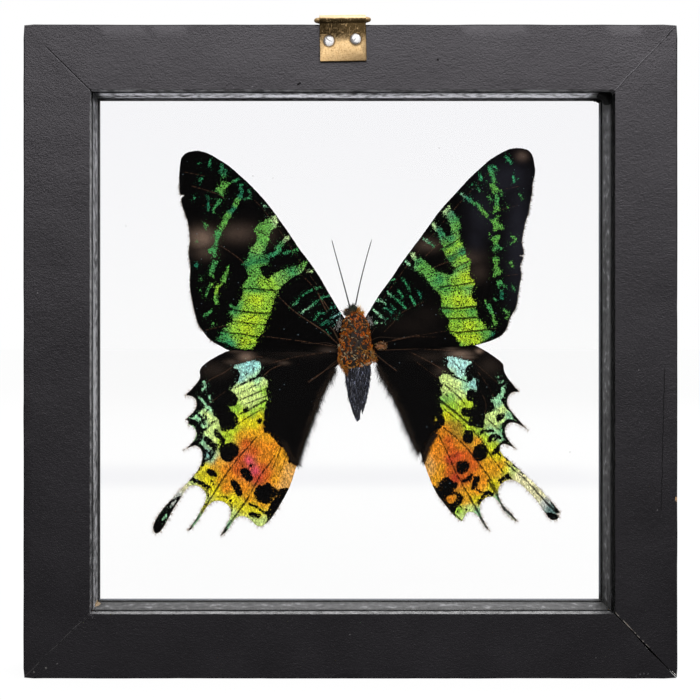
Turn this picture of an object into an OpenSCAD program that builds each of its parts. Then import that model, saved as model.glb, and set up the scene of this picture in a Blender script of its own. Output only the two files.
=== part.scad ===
/* [Frame] */
// Width over the outer edges
outer_w = 152; // [145:1:180]
// Height over the outer edges
outer_h = 152; // [145:1:180]
// Depth from the front face to the back face
depth = 23; // [22:0.5:30]
// Face width of the left rail
left_rail_w = 15.4; // [13:0.1:18]
// Face width of the right rail
right_rail_w = 14.5; // [13:0.1:18]
// Face width of the top rail
top_rail_w = 15.1; // [13:0.1:18]
// Face width of the bottom rail
bottom_rail_w = 15; // [13:0.1:18]
// Thickness of the lip in front of the front glass
lip_t = 4; // [3:0.5:5]
// Width of the rebate behind the lip
rebate_w = 4; // [3:0.5:6]
// Width of the worn chamfer along the long edges
edge_chamfer = 0.3; // [0.1:0.1:0.6]

/* [Glazing] */
// Thickness of each glass pane
glass_t = 2; // [1.5:0.5:3]
// Gap around each pane inside the rebate
glass_gap = 0.25; // [0.1:0.05:0.5]
// Thickness of the stops that close the back
stop_t = 3; // [2:0.5:4]

/* [Hanger] */
// Distance from the frame's middle to the hanger's middle
hanger_x = -1.85; // [-20:0.05:20]
// Width of the folded strap
plate_w = 10.75; // [10:0.05:12]
// Height of the strap from its lower edge to the hinge axis
plate_h = 9.7; // [9:0.1:12]
// Thickness of the strap's metal, which is folded double
strap_t = 0.5; // [0.4:0.05:0.6]
// Diameter of the ring's wire
wire_d = 1; // [0.8:0.05:1]
// Height of the hinge axis above the top of the frame
axis_rise = 1.1; // [1.1:0.05:1.5]
// Lean of the hanger, which was screwed on slightly askew
hanger_lean = 1; // [0:0.1:1.5]
// Diameter of the screw heads
screw_head_d = 2.5; // [2:0.1:3]
// Length of the screws under the head
screw_len = 8; // [5:0.5:10]

/* [Brads] */
// Diameter of the corner brads
corner_brad_d = 1.2; // [0.8:0.1:1.6]
// Length of the corner brads
corner_brad_len = 17; // [15:0.5:20]
// Diameter of the stop brads
stop_brad_d = 0.9; // [0.6:0.1:1.2]
// Length of the stop brads
stop_brad_len = 10; // [8:0.5:11]

/* [Specimen] */
// Sideways distance from the frame's middle to the middle of the moth
moth_x = 1.9; // [-4:0.1:4]
// Height of the middle of the moth above the base
moth_z = 77.3; // [74:0.1:80]
// Thickness of a wing
wing_t = 0.25; // [0.2:0.05:0.4]
// Length of an antenna
antenna_len = 16.4; // [10:0.1:20]

/* [Hidden] */
$fn = 48;

front_y = -depth / 2;
back_y = depth / 2;
front_glass_y = front_y + lip_t;
chamber_y = front_glass_y + glass_t;
stop_y = back_y - stop_t;
back_glass_y = stop_y - glass_t;
chamber_d = back_glass_y - chamber_y;

// Sight opening, the edge that the lip, spacers and stops share
sight_l = left_rail_w - outer_w / 2;
sight_r = outer_w / 2 - right_rail_w;
sight_b = bottom_rail_w;
sight_t = outer_h - top_rail_w;
sight_x = (sight_l + sight_r) / 2;
sight_z = (sight_b + sight_t) / 2;

// Corners of the face, clockwise from the lower left
outer_corner = [
    [-outer_w / 2, 0], [-outer_w / 2, outer_h], [outer_w / 2, outer_h], [outer_w / 2, 0]
];
inner_corner = [[sight_l, sight_b], [sight_l, sight_t], [sight_r, sight_t], [sight_r, sight_b]];
LEFT = 0;
TOP = 1;
RIGHT = 2;
BOTTOM = 3;

fit = 0.05;
brad_y = [-4.5, 4.5];
brad_inset = 7;
stop_brad_y = (stop_y + back_y) / 2;
stop_brad_at = [-34, 34];

hinge_z = outer_h + axis_rise;
hinge_y = front_y - strap_t;
ring_bend_r = 0.75;
ring_apex_r = 1.3;
ring_taper = 37;
leg_seat = 0.04;
ring_droop = 3.8;
screw_at = [[-3.3, -5], [2.9, -4.7]];
screw_shank_d = 1.2;
screw_head_h = 0.95;
slot_w = 0.35;
slot_turn = [35, -50];

// Wings lie on the middle of the chamber, the hindwings just in front
moth_y = (chamber_y + back_glass_y) / 2;
wing_gap = 0.05;
curve_steps = 3;

// Outlines are [x, z] from the middle of the moth, and a third value of 1 marks a sharp point
left_forewing_outline = [
    [-42.1, 44.2], [-41.9, 44.8], [-40.9, 45.9], [-39, 46.4], [-37.5, 46.4], [-35.1, 45.6],
    [-32.7, 44.2], [-30.4, 42.7], [-28, 40.6], [-25.6, 38.4], [-23.2, 35.9], [-20.8, 33.1],
    [-18.4, 29.8], [-16, 26.4], [-13.6, 22.8], [-11.2, 19.7], [-8.8, 16.1], [-6.5, 12.1],
    [-4.1, 8.1], [-2.6, 6, 1], [-1.7, 4.8], [-1.7, -1.5, 1], [-4.1, -2.5], [-13.6, -2.9],
    [-24.1, -2.5], [-30.4, -1.3], [-32.7, -0.2], [-35.1, 1.2], [-36.6, 3], [-37.8, 4.5],
    [-38.7, 7.2], [-39.4, 10.3], [-40, 14.3], [-39.9, 18.6], [-40.3, 22], [-40, 25.1],
    [-40.5, 29.4], [-41.5, 32.3], [-42.1, 34.9], [-41.3, 35.8, 1], [-42.3, 36], [-42.5, 38.2],
    [-42.5, 40.6], [-42.3, 42.8]
];
right_forewing_outline = [
    [2.2, 6.9, 1], [3.1, 8.4], [5.5, 12.3], [7.9, 15.5], [10.3, 19.1], [12.7, 22.4],
    [15.1, 25.6], [17.4, 28.8], [19.8, 32.1], [22.2, 34.8], [24.6, 37.4], [27, 40],
    [29.4, 42.2], [31.8, 44.3], [34.2, 45.8], [36.6, 46.9], [38.9, 47.1], [41.1, 46.5],
    [41.9, 45.4], [42.3, 44], [42.6, 41.3], [42.1, 38.9], [41.9, 36.3], [41.4, 33.5],
    [41.1, 31.5], [40.4, 29.6], [39.9, 27.2], [39.5, 24.6], [39.9, 22.5], [39.8, 21.5],
    [39, 21.4, 1], [39.8, 21], [39.1, 18.9], [39.4, 16.7], [38.9, 14.1], [38.5, 11.2],
    [38, 8.8], [36.6, 6.3], [36.1, 4.5], [34.9, 2.6], [32.7, 1.3], [30.1, 0.4],
    [27, -0.3], [19.8, -1.2], [10.3, -1.6], [4.1, -1.4], [1.7, 0, 1], [1.4, 4.8]
];
left_hindwing_outline = [
    [-13.6, -1.6], [-22, -1.7], [-28, -1.3], [-30.4, -1.3], [-33.2, -2.5], [-36.1, -4.3],
    [-37.5, -5.9], [-37.5, -7.9], [-39.4, -10.3], [-41.2, -12.1, 1], [-39.9, -12.1],
    [-38.6, -12.9], [-38.4, -14.6], [-39.4, -16.3], [-41.2, -17.8, 1], [-40.3, -18.2],
    [-40.6, -19.2, 1], [-39.4, -19.3], [-38.4, -20.8], [-38.9, -22.5], [-40.1, -24],
    [-41.6, -25.2, 1], [-39.9, -24.4], [-38.2, -24.1], [-37, -25.6], [-37.2, -28],
    [-38.2, -30.1], [-40.6, -32.9], [-43.5, -35.9], [-45.9, -38.5], [-47.8, -41.1],
    [-48.7, -43.3], [-48.5, -44.6], [-47.7, -45], [-46.6, -44.1], [-45.4, -42.1],
    [-43.7, -39], [-42.1, -36.6], [-40.6, -34.2], [-39.4, -33.5], [-37.8, -33.8],
    [-36.3, -35.1], [-36.1, -36.8], [-37.3, -39.4], [-38.9, -42.1], [-40.6, -44.4, 1],
    [-39.7, -44.1], [-37.5, -41.3], [-35.9, -38.7], [-34.5, -37.5], [-33, -37.2],
    [-31.1, -38], [-30.1, -39.7], [-30.6, -41.8], [-31.8, -44], [-32.7, -45.6, 1],
    [-31.5, -44.9], [-30.1, -43], [-28.9, -41.3], [-27.2, -40.9], [-25.6, -41.6],
    [-24.1, -43], [-22.9, -43.3], [-21.3, -42.3], [-19.4, -39.9], [-17.7, -37],
    [-16, -33.7], [-14.6, -29.4], [-12.9, -24.6], [-11.5, -20.5], [-10.5, -16],
    [-9.1, -12.2], [-7.2, -8.6], [-5.5, -5.7], [-3.8, -4.1, 1], [-2.4, -1.8, 1]
];
right_hindwing_outline = [
    [2, -1.3, 1], [10.3, -1], [19.8, -0.6], [28.2, 0, 1], [30.6, -1.3], [33, -2.9],
    [34.9, -4.5], [35.1, -6], [36.1, -7.9], [38.8, -11.2, 1], [37, -11.4], [36, -12.7],
    [36, -14.3], [37.5, -16.5], [41, -20.4, 1], [38.9, -19.1], [36.8, -18.5], [35.5, -19.6],
    [35.6, -21.5], [36.6, -23.1], [38.2, -25, 1], [36.1, -23.9], [34.8, -23.7], [34.2, -24.4],
    [34.5, -25.8], [36.1, -27.2], [38, -28.9], [40.1, -30.9], [42.5, -33.1], [44.9, -35.6],
    [46.8, -37.7], [48.6, -40, 1], [47.7, -40.3, 1], [48.4, -40.7, 1], [47.8, -41.6],
    [46.3, -41.7], [44.9, -40.1], [43.2, -37.5], [40.9, -34.9], [38.7, -33], [37, -32.2],
    [35.1, -32.7], [33.9, -34.2], [33.9, -36.1], [34.9, -38.1], [36.8, -40.1],
    [38.6, -42.2, 1], [37.2, -41.8], [35.1, -39.7], [33.8, -37.4], [32.5, -36.3],
    [30.8, -36.5], [29.5, -38], [29.5, -40.1], [30.6, -42.4], [31.9, -44.6, 1],
    [30.3, -43.3], [29.2, -41.2], [28, -40.1], [26.5, -39.9], [25.7, -40.9], [25, -42.1, 1],
    [23.4, -41], [21.3, -38.5], [19.4, -36.1], [17.7, -32.7], [16.2, -28.7], [14.8, -24.8],
    [13.1, -20.8], [11.5, -16.7], [9.8, -13.1], [7.6, -9.3], [6, -6.2], [4.5, -4.1, 1],
    [2.6, -1.8, 1]
];

// Radius and height of the body's outlines, from the middle of the moth
thorax_x = -0.4;
thorax_profile = [
    [0, 7.9, 1], [1.1, 7.6], [2.3, 6.5], [3, 4.8], [3.4, 2.4], [3.7, 0], [4, -2.4],
    [3.8, -4.1], [2.6, -5.4], [0, -6, 1]
];
abdomen_x = 0.2;
abdomen_profile = [
    [0, -4, 1], [3, -4, 1], [3, -5.5], [2.8, -8.4], [2.3, -11.2], [1.8, -13.9], [1.2, -16],
    [0.6, -17.5], [0, -18.2, 1]
];
abdomen_fork = [[0.85, -15], [1.15, -17], [3, -17], [3, -19], [0.9, -19], [0.45, -17]];
head_at = [-1.2, 8.5];
head_r = 1.45;
antenna_lean = [15.2, -14.1];
antenna_root = [-0.65, 0.75];
antenna_r = 0.16;
pad_r = 2;
pad_at = thorax_profile[6];

function direction(points, i) =
    let (n = len(points), gap = points[(i + 1) % n] - points[(i + n - 1) % n])
    len(points[i]) == 3 ? [0, 0] : [gap[0], gap[1]] / norm([gap[0], gap[1]]);

// Smooth curve through the points, which breaks at each sharp one
function curve(points) = [
    for (i = [0:len(points) - 1])
        let (
            n = len(points),
            a = [points[i][0], points[i][1]],
            b = [points[(i + 1) % n][0], points[(i + 1) % n][1]],
            from = direction(points, i) * norm(b - a),
            to = direction(points, (i + 1) % n) * norm(b - a)
        )
        for (step = [0:curve_steps - 1])
            let (t = step / curve_steps)
            a * (2 * t ^ 3 - 3 * t ^ 2 + 1) + from * (t ^ 3 - 2 * t ^ 2 + t)
                + b * (3 * t ^ 2 - 2 * t ^ 3) + to * (t ^ 3 - t ^ 2)
];

// Stands a flat shape up to face the front, from y = near and t thick
module upright(near, t) {
    translate([0, near + t, 0])
        rotate([90, 0, 0])
            linear_extrude(t)
                children();
}

// Face of one side between its two mitres, from the first inset to the second
module mitred_face(side, from, to) {
    next = (side + 1) % 4;
    polygon([
        inset_corner(side, from), inset_corner(next, from),
        inset_corner(next, to), inset_corner(side, to)
    ]);
}

// Point on a mitre, as a share of the way from the sight edge to the outer edge
function inset_corner(corner, share) =
    inner_corner[corner] + (outer_corner[corner] - inner_corner[corner]) * share;

module rebate() {
    upright(front_glass_y, depth)
        translate([sight_l - rebate_w, sight_b - rebate_w])
            square([sight_r - sight_l + 2 * rebate_w, sight_t - sight_b + 2 * rebate_w]);
}

// Cuts the four long edges of the frame off at 45 degrees
module edge_cut() {
    for (end = [-1, 1])
        for (turn = [0:3])
            translate([0, 0, outer_h / 2])
                rotate([0, 90 * turn, 0])
                    translate([0, end * depth / 2, (turn % 2 == 0 ? outer_h : outer_w) / 2])
                        rotate([45, 0, 0])
                            cube([2 * outer_w, 2 ^ 0.5 * edge_chamfer, 2 ^ 0.5 * edge_chamfer], true);
}

module rail(side) {
    difference() {
        upright(front_y, depth)
            mitred_face(side, 0, 1);
        rebate();
        edge_cut();
        corner_brads_solid();
        stop_brads_solid();
    }
}

module liner(side, near, t) {
    intersection() {
        upright(near, t)
            mitred_face(side, 0, 1);
        upright(near, t)
            translate([sight_l - rebate_w + fit, sight_b - rebate_w + fit])
                square([
                    sight_r - sight_l + 2 * (rebate_w - fit),
                    sight_t - sight_b + 2 * (rebate_w - fit)
                ]);
    }
}

module pane(near) {
    margin = rebate_w - glass_gap;
    upright(near, glass_t)
        translate([sight_l - margin, sight_b - margin])
            square([sight_r - sight_l + 2 * margin, sight_t - sight_b + 2 * margin]);
}

// Two brads through each end of both side rails
module corner_brads_solid() {
    for (side = [-1, 1])
        for (z = [brad_inset, outer_h - brad_inset])
            for (y = brad_y)
                translate([side * outer_w / 2, y, z])
                    rotate([0, -90 * side, 0])
                        cylinder(d = corner_brad_d, h = corner_brad_len);
}

// Two brads outwards through each stop
module stop_brads_solid() {
    for (at = stop_brad_at) {
        stop_brad([sight_l, sight_z + at], -90);
        stop_brad([sight_r, sight_z + at], 90);
        stop_brad([sight_x + at, sight_t], 0);
        stop_brad([sight_x + at, sight_b], 180);
    }
}

module stop_brad(at, turn) {
    translate([at[0], stop_brad_y, at[1]])
        rotate([0, turn, 0])
            cylinder(d = stop_brad_d, h = stop_brad_len);
}

// Places what belongs to the hanger about the middle of its hinge axis
module hanger_frame() {
    translate([hanger_x, hinge_y, hinge_z])
        rotate([0, -hanger_lean, 0])
            children();
}

module screw_places() {
    for (i = [0, 1])
        translate([screw_at[i][0], -strap_t, screw_at[i][1]])
            rotate([0, slot_turn[i], 0])
                rotate([90, 0, 0])
                    children();
}

module screw_shank() {
    translate([0, 0, -screw_len])
        cylinder(d = screw_shank_d, h = screw_len + screw_head_h / 2);
}

module screw() {
    dome_r = (screw_head_h ^ 2 + (screw_head_d / 2) ^ 2) / (2 * screw_head_h);
    difference() {
        intersection() {
            translate([0, 0, screw_head_h - dome_r])
                sphere(dome_r);
            cylinder(d = 2 * screw_head_d, h = screw_head_h);
        }
        translate([-screw_head_d, -slot_w / 2, screw_head_h / 2])
            cube([2 * screw_head_d, slot_w, screw_head_h]);
    }
    screw_shank();
}

module top_rail() {
    color("#343337")
        difference() {
            rail(TOP);
            hanger_frame()
                screw_places()
                    screw_shank();
        }
}

module bottom_rail() {
    color("#262528")
        rail(BOTTOM);
}

module left_rail() {
    color("#2b2a2d")
        rail(LEFT);
}

module right_rail() {
    color("#2e2d30")
        rail(RIGHT);
}

module corner_brads() {
    color("#5b5a5c")
        corner_brads_solid();
}

module front_glass() {
    color([0.86, 0.93, 0.95, 0.25])
        pane(front_glass_y);
}

module back_glass() {
    color([0.86, 0.93, 0.95, 0.25])
        pane(back_glass_y);
}

module spacer(side) {
    color("#77777a")
        liner(side, chamber_y, chamber_d);
}

module stop(side) {
    color("#55565c")
        difference() {
            liner(side, stop_y, stop_t);
            stop_brads_solid();
        }
}

module stop_brads() {
    color("#8d8d90")
        stop_brads_solid();
}

// Strap folded over the wire, with both ends screwed to the face
module hanger_plate() {
    knuckle_r = wire_d / 2 + fit + strap_t;
    color("#b58c3c")
        hanger_frame()
            difference() {
                union() {
                    translate([-plate_w / 2, -strap_t, -plate_h])
                        cube([plate_w, 2 * strap_t, plate_h]);
                    translate([-plate_w / 2, 0, 0])
                        rotate([0, 90, 0])
                            cylinder(r = knuckle_r, h = plate_w);
                }
                translate([-plate_w, 0, 0])
                    rotate([0, 90, 0])
                        cylinder(d = wire_d + 2 * fit, h = 2 * plate_w);
                screw_places()
                    translate([0, 0, -screw_len])
                        cylinder(d = screw_shank_d + 4 * fit, h = 2 * screw_len);
            }
}

// Wire bent to a triangle, lying back over the top of the frame
module hanger_ring() {
    bend_x = plate_w / 2 + ring_bend_r * cos(ring_taper);
    bend_y = ring_bend_r * (1 + sin(ring_taper));
    leg = (bend_x - ring_apex_r * cos(ring_taper)) / sin(ring_taper);
    apex_y = bend_y + leg * cos(ring_taper) - ring_apex_r * sin(ring_taper);
    color("#c39a4a")
        hanger_frame()
            rotate([-ring_droop, 0, 0]) {
                translate([-plate_w / 2, 0, 0])
                    rotate([0, 90, 0])
                        cylinder(d = wire_d, h = plate_w);
                for (side = [0, 1])
                    mirror([side, 0, 0]) {
                        translate([plate_w / 2, ring_bend_r, 0])
                            wire_arc(ring_bend_r, -90, 90 + ring_taper);
                        translate([bend_x, bend_y, 0])
                            rotate([-90, 0, ring_taper])
                                translate([0, 0, -leg_seat])
                                    cylinder(d = wire_d - leg_seat / 4, h = leg + 2 * leg_seat);
                    }
                translate([0, apex_y, 0])
                    wire_arc(ring_apex_r, ring_taper, 180 - 2 * ring_taper);
            }
}

module wire_arc(radius, start, angle) {
    rotate([0, 0, start])
        rotate_extrude(angle = angle)
            translate([radius, 0])
                circle(d = wire_d);
}

module hanger_screws() {
    color("#c9cacc")
        hanger_frame()
            screw_places()
                screw();
}

module moth_place() {
    translate([moth_x, moth_y, moth_z])
        children();
}

module thorax_solid() {
    translate([thorax_x, 0, 0])
        rotate_extrude()
            polygon(curve(thorax_profile));
}

module head_solid() {
    translate([head_at[0], 0, head_at[1]])
        sphere(head_r);
}

// Wing that ends against the thorax
module wing(outline, near) {
    moth_place()
        difference() {
            upright(near, wing_t)
                polygon(curve(outline));
            thorax_solid();
        }
}

module left_forewing() {
    color("#1f3a22")
        wing(left_forewing_outline, wing_gap / 2);
}

module right_forewing() {
    color("#1f3a22")
        wing(right_forewing_outline, wing_gap / 2);
}

module left_hindwing() {
    color("#7a5220")
        wing(left_hindwing_outline, -wing_gap / 2 - wing_t);
}

module right_hindwing() {
    color("#7a5220")
        wing(right_hindwing_outline, -wing_gap / 2 - wing_t);
}

module moth_head() {
    color("#2b2a1e")
        moth_place()
            head_solid();
}

module moth_thorax() {
    color("#7d4716")
        moth_place()
            difference() {
                thorax_solid();
                head_solid();
            }
}

module moth_abdomen() {
    color("#23262f")
        moth_place()
            difference() {
                translate([abdomen_x, 0, 0])
                    difference() {
                        rotate_extrude()
                            polygon(curve(abdomen_profile));
                        upright(-5, 10)
                            polygon(abdomen_fork);
                    }
                thorax_solid();
            }
}

module antenna(i) {
    color("#3a3a3c")
        moth_place()
            difference() {
                translate([head_at[0] + antenna_root[i], 0, head_at[1] + head_r / 2])
                    rotate([0, -antenna_lean[i], 0])
                        cylinder(r = antenna_r, h = antenna_len);
                head_solid();
            }
}

module left_antenna() {
    antenna(0);
}

module right_antenna() {
    antenna(1);
}

// Clear dab between the widest part of the thorax and the back glass
module mounting_pad() {
    color([0.9, 0.88, 0.8, 0.8])
        moth_place()
            translate([thorax_x, pad_at[0], pad_at[1]])
                rotate([-90, 0, 0])
                    cylinder(r = pad_r, h = back_glass_y - moth_y - pad_at[0]);
}

top_rail();
bottom_rail();
left_rail();
right_rail();
corner_brads();
front_glass();
back_glass();
spacer(TOP);  // top_spacer
spacer(BOTTOM);  // bottom_spacer
spacer(LEFT);  // left_spacer
spacer(RIGHT);  // right_spacer
stop(TOP);  // top_stop
stop(BOTTOM);  // bottom_stop
stop(LEFT);  // left_stop
stop(RIGHT);  // right_stop
stop_brads();
hanger_plate();
hanger_ring();
hanger_screws();
left_forewing();
right_forewing();
left_hindwing();
right_hindwing();
moth_head();
moth_thorax();
moth_abdomen();
left_antenna();
right_antenna();
mounting_pad();
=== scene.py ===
import math
from contextlib import contextmanager

import bmesh
import bpy
import numpy as np
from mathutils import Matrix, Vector, noise
from mathutils.geometry import delaunay_2d_cdt


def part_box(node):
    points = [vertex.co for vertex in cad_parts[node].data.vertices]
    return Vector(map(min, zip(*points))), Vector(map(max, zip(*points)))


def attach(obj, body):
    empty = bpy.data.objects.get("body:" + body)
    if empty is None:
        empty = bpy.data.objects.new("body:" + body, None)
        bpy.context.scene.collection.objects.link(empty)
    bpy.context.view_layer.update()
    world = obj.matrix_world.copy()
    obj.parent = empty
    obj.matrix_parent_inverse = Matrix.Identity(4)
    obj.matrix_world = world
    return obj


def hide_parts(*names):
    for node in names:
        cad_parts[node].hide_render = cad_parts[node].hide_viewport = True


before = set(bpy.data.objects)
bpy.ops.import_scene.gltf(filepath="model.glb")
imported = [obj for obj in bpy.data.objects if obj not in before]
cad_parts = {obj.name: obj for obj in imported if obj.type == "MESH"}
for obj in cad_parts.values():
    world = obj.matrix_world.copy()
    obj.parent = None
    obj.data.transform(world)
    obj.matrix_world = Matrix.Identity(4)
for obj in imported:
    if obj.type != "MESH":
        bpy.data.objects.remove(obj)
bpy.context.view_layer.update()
noise.seed_set(7)        # without a seed of its own, noise_vector differs from run to run

MM = 0.001

# ---------------------------------------------------------------- view

PHOTO = 700                               # the photograph is square, this many pixels across
STRAIGHT_AHEAD = (296, 315)               # the pixel that the camera looks straight at
FOCAL = 1808                              # focal length in pixels
CAMERA_AT = Vector((-12.66, -431.5, 84.5)) * MM
SENSOR = 36                               # width of the camera's sensor in millimetres

FACE_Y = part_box("top_rail")[0][1]         # front of the rails
GLASS_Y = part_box("front_glass")[0][1]     # front of the front pane
HANGER_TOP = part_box("hanger_plate")[1][2] / MM
HINGE = Vector((-1.85, -12, 153.1))       # middle of the hanger's hinge, in millimetres
SCREWS = (-3.3, -5), (2.9, -4.7)          # the screws, right of and above the hinge
SCREW_FACE = -12.5                        # the plane that their domed heads stand on
SIGHT_LEFT, SIGHT_RIGHT = -60.6, 61.5     # inner edges of the rails, in millimetres
SIGHT_LOW, SIGHT_TOP = 15.0, 136.9
HALF = 76                                 # half the side of the frame, which is square
STOP_Y = 9.6                              # how far back the drips of paint hang
# The mitres, from the outer corner to the inner one.
MITRES = {
    "upper_left": ((-HALF, 2 * HALF), (SIGHT_LEFT, SIGHT_TOP)),
    "upper_right": ((HALF, 2 * HALF), (SIGHT_RIGHT, SIGHT_TOP)),
    "lower_left": ((-HALF, 0), (SIGHT_LEFT, SIGHT_LOW)),
    "lower_right": ((HALF, 0), (SIGHT_RIGHT, SIGHT_LOW)),
}
MOTH_Y = 0.5 * MM                         # middle of the wings
BODY_X, ROOTS_Z = 1.9, 77.3               # where the wings meet the body, in millimetres


def at_depth(points, y):
    """Pixels of the photograph as (x, z) in metres on the upright plane at y."""
    reach = (y - CAMERA_AT.y) / FOCAL
    return [
        (CAMERA_AT.x + (px - STRAIGHT_AHEAD[0]) * reach, CAMERA_AT.z - (py - STRAIGHT_AHEAD[1]) * reach)
        for px, py in points
    ]


def on_plane(px, py, y):
    """One pixel of the photograph as a point in metres on the upright plane at y."""
    x, z = at_depth([(px, py)], y)[0]
    return (x, y, z)


def on_moth(points):
    """Pixels of the photograph as (x, z) in millimetres on the wings' plane."""
    return np.array(at_depth(points, MOTH_Y)) / MM


def tone(red, green, blue):
    """A colour as it looks on a screen, 0 to 255, in the linear values that shaders take."""
    def linear(value):
        value = value / 255
        return value / 12.92 if value <= 0.04045 else ((value + 0.055) / 1.055) ** 2.4
    return (linear(red), linear(green), linear(blue), 1)


def set_camera():
    data = bpy.data.cameras.new("camera")
    data.sensor_width = SENSOR
    data.lens = FOCAL / PHOTO * SENSOR
    data.shift_x = (PHOTO / 2 - STRAIGHT_AHEAD[0]) / PHOTO
    data.shift_y = (STRAIGHT_AHEAD[1] - PHOTO / 2) / PHOTO
    data.clip_start = 0.01
    camera = bpy.data.objects.new("camera", data)
    camera.location = CAMERA_AT
    camera.rotation_euler = (math.radians(90), 0, 0)
    bpy.context.scene.collection.objects.link(camera)
    bpy.context.scene.camera = camera


# ---------------------------------------------------------------- finishes


class Level:
    """A number that changes over a surface. Sums on it add Math nodes."""

    def __init__(self, finish, socket):
        self.finish = finish
        self.socket = socket

    def sum(self, operation, first, second=None):
        values = {0: first} if second is None else {0: first, 1: second}
        return Level(self.finish, self.finish.node("ShaderNodeMath", {"operation": operation}, values).outputs[0])

    def __add__(self, other):
        return self.sum("ADD", self, other)

    __radd__ = __add__

    def __sub__(self, other):
        return self.sum("SUBTRACT", self, other)

    def __rsub__(self, other):
        return self.sum("SUBTRACT", other, self)

    def __mul__(self, other):
        return self.sum("MULTIPLY", self, other)

    __rmul__ = __mul__

    def __truediv__(self, other):
        return self.sum("DIVIDE", self, other)

    def __rtruediv__(self, other):
        return self.sum("DIVIDE", other, self)

    def __pow__(self, other):
        return self.sum("POWER", self, other)

    def least(self, other):
        return self.sum("MINIMUM", self, other)

    def most(self, other):
        return self.sum("MAXIMUM", self, other)

    def fade(self, low, high):
        """0 below low and 1 above high, with a soft step between them."""
        node = self.finish.node(
            "ShaderNodeMapRange", {"interpolation_type": "SMOOTHSTEP"},
            {"Value": self, "From Min": low, "From Max": high},
        )
        return Level(self.finish, node.outputs[0])

    def between(self, low, full, falling, high):
        """1 from full to falling, and 0 below low and above high."""
        return self.fade(low, full) * (1 - self.fade(falling, high))


class Finish:
    """The node tree of one material, or of the world."""

    def __init__(self, name, kind="materials"):
        self.material = getattr(bpy.data, kind).new(name)
        self.material.use_nodes = True
        self.tree = self.material.node_tree
        self.tree.nodes.clear()

    def node(self, kind, settings=None, values=None):
        """Any node, its settings first and then the values or links of its sockets."""
        made = self.tree.nodes.new(kind)
        for name, value in (settings or {}).items():
            setattr(made, name, value)
        for name, value in (values or {}).items():
            if isinstance(value, Level):
                value = value.socket
            if isinstance(value, bpy.types.NodeSocket):
                self.tree.links.new(value, made.inputs[name])
            else:
                made.inputs[name].default_value = value
        return made

    def place(self, stretch=None, turn=(0, 0, 0)):
        """Object coordinates, stretched along the piece where a pattern runs one way."""
        where = self.node("ShaderNodeTexCoord").outputs["Object"]
        if stretch is None:
            return where
        return self.node("ShaderNodeMapping", {}, {"Vector": where, "Rotation": turn, "Scale": stretch}).outputs[0]

    def noise(self, size, detail=2, stretch=None, turn=(0, 0, 0), rough=0.5):
        """Cloudy noise, 0 to 1, with lumps of the given size in millimetres."""
        node = self.node(
            "ShaderNodeTexNoise", {},
            {"Vector": self.place(stretch, turn), "Scale": 1 / (size * MM), "Detail": detail, "Roughness": rough},
        )
        return Level(self, node.outputs[0])

    def cells(self, size, stretch=None, turn=(0, 0, 0)):
        """Three random numbers for each cell of the given size, and the distance from its middle."""
        node = self.node(
            "ShaderNodeTexVoronoi", {}, {"Vector": self.place(stretch, turn), "Scale": 1 / (size * MM)}
        )
        parts = self.node("ShaderNodeSeparateColor", {}, {0: node.outputs["Color"]})
        return [Level(self, socket) for socket in (*parts.outputs, node.outputs["Distance"])]

    def specks(self, size, share, radius):
        """Round specks in the middle of some cells, by where the share and the radius fade."""
        chosen, _, _, gap = self.cells(size)
        return chosen.fade(*share) * (1 - gap.fade(*radius))

    def level(self, name):
        """A value that note stored on the piece."""
        return Level(self, self.node("ShaderNodeAttribute", {"attribute_name": name}).outputs["Fac"])

    def colour(self, name):
        return self.node("ShaderNodeAttribute", {"attribute_name": name}).outputs["Color"]

    def rays(self, *kinds):
        """1 for each of the named kinds of ray."""
        path = self.node("ShaderNodeLightPath").outputs
        return [Level(self, path[f"Is {kind} Ray"]) for kind in kinds]

    def axis(self, which):
        """The Object coordinate along X, Y or Z, in millimetres."""
        parts = self.node("ShaderNodeSeparateXYZ", {}, {0: self.place()})
        return Level(self, parts.outputs[which]) / MM

    def near(self, centre, radius, ragged=None):
        """1 at a place and 0 beyond the radius, in metres."""
        gap = self.node("ShaderNodeVectorMath", {"operation": "DISTANCE"}, {0: self.place(), 1: centre})
        span = Level(self, gap.outputs["Value"])
        if ragged is not None:
            span = span + ragged
        return 1 - span.fade(radius * 0.7, radius)

    def mix(self, amount, low, high, blend="MIX"):
        """One colour laid over another by an amount."""
        node = self.node("ShaderNodeMix", {"data_type": "RGBA", "blend_type": blend}, {0: amount, 6: low, 7: high})
        return node.outputs[2]

    def shader(self, kind, **sockets):
        values = {name.replace("_", " "): value for name, value in sockets.items()}
        return self.node("ShaderNode" + kind, {}, values).outputs[0]

    def over(self, amount, low, high):
        """One shader laid over another by an amount."""
        return self.node("ShaderNodeMixShader", {}, {0: amount, 1: low, 2: high}).outputs[0]

    def bump(self, height, depth, strength=1.0):
        """A normal from a height of 0 to 1 that stands for depth in millimetres."""
        values = {"Height": height, "Distance": depth * MM, "Strength": strength}
        return self.node("ShaderNodeBump", {}, values).outputs[0]

    def output(self, shader, kind="Material"):
        self.node("ShaderNodeOutput" + kind, {}, {"Surface": shader})
        return self.material

    def surface(self, **sockets):
        return self.output(self.shader("BsdfPrincipled", **sockets))


# ---------------------------------------------------------------- lines and areas of the wings


def curve(points, closed=False):
    """A smooth line through the points, three steps to each."""
    points = np.array(points, float)
    count = len(points)
    if count < 3:
        return points
    smooth = []
    for i in range(count if closed else count - 1):
        near = (i + k for k in (-1, 0, 1, 2))
        a, b, c, d = (points[j % count if closed else min(max(j, 0), count - 1)] for j in near)
        for t in (0, 1 / 3, 2 / 3):
            smooth.append(
                0.5 * (2 * b + (c - a) * t + (2 * a - 5 * b + 4 * c - d) * t * t + (3 * b - a - 3 * c + d) * t ** 3)
            )
    if not closed:
        smooth.append(points[-1])
    return np.array(smooth)


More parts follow.
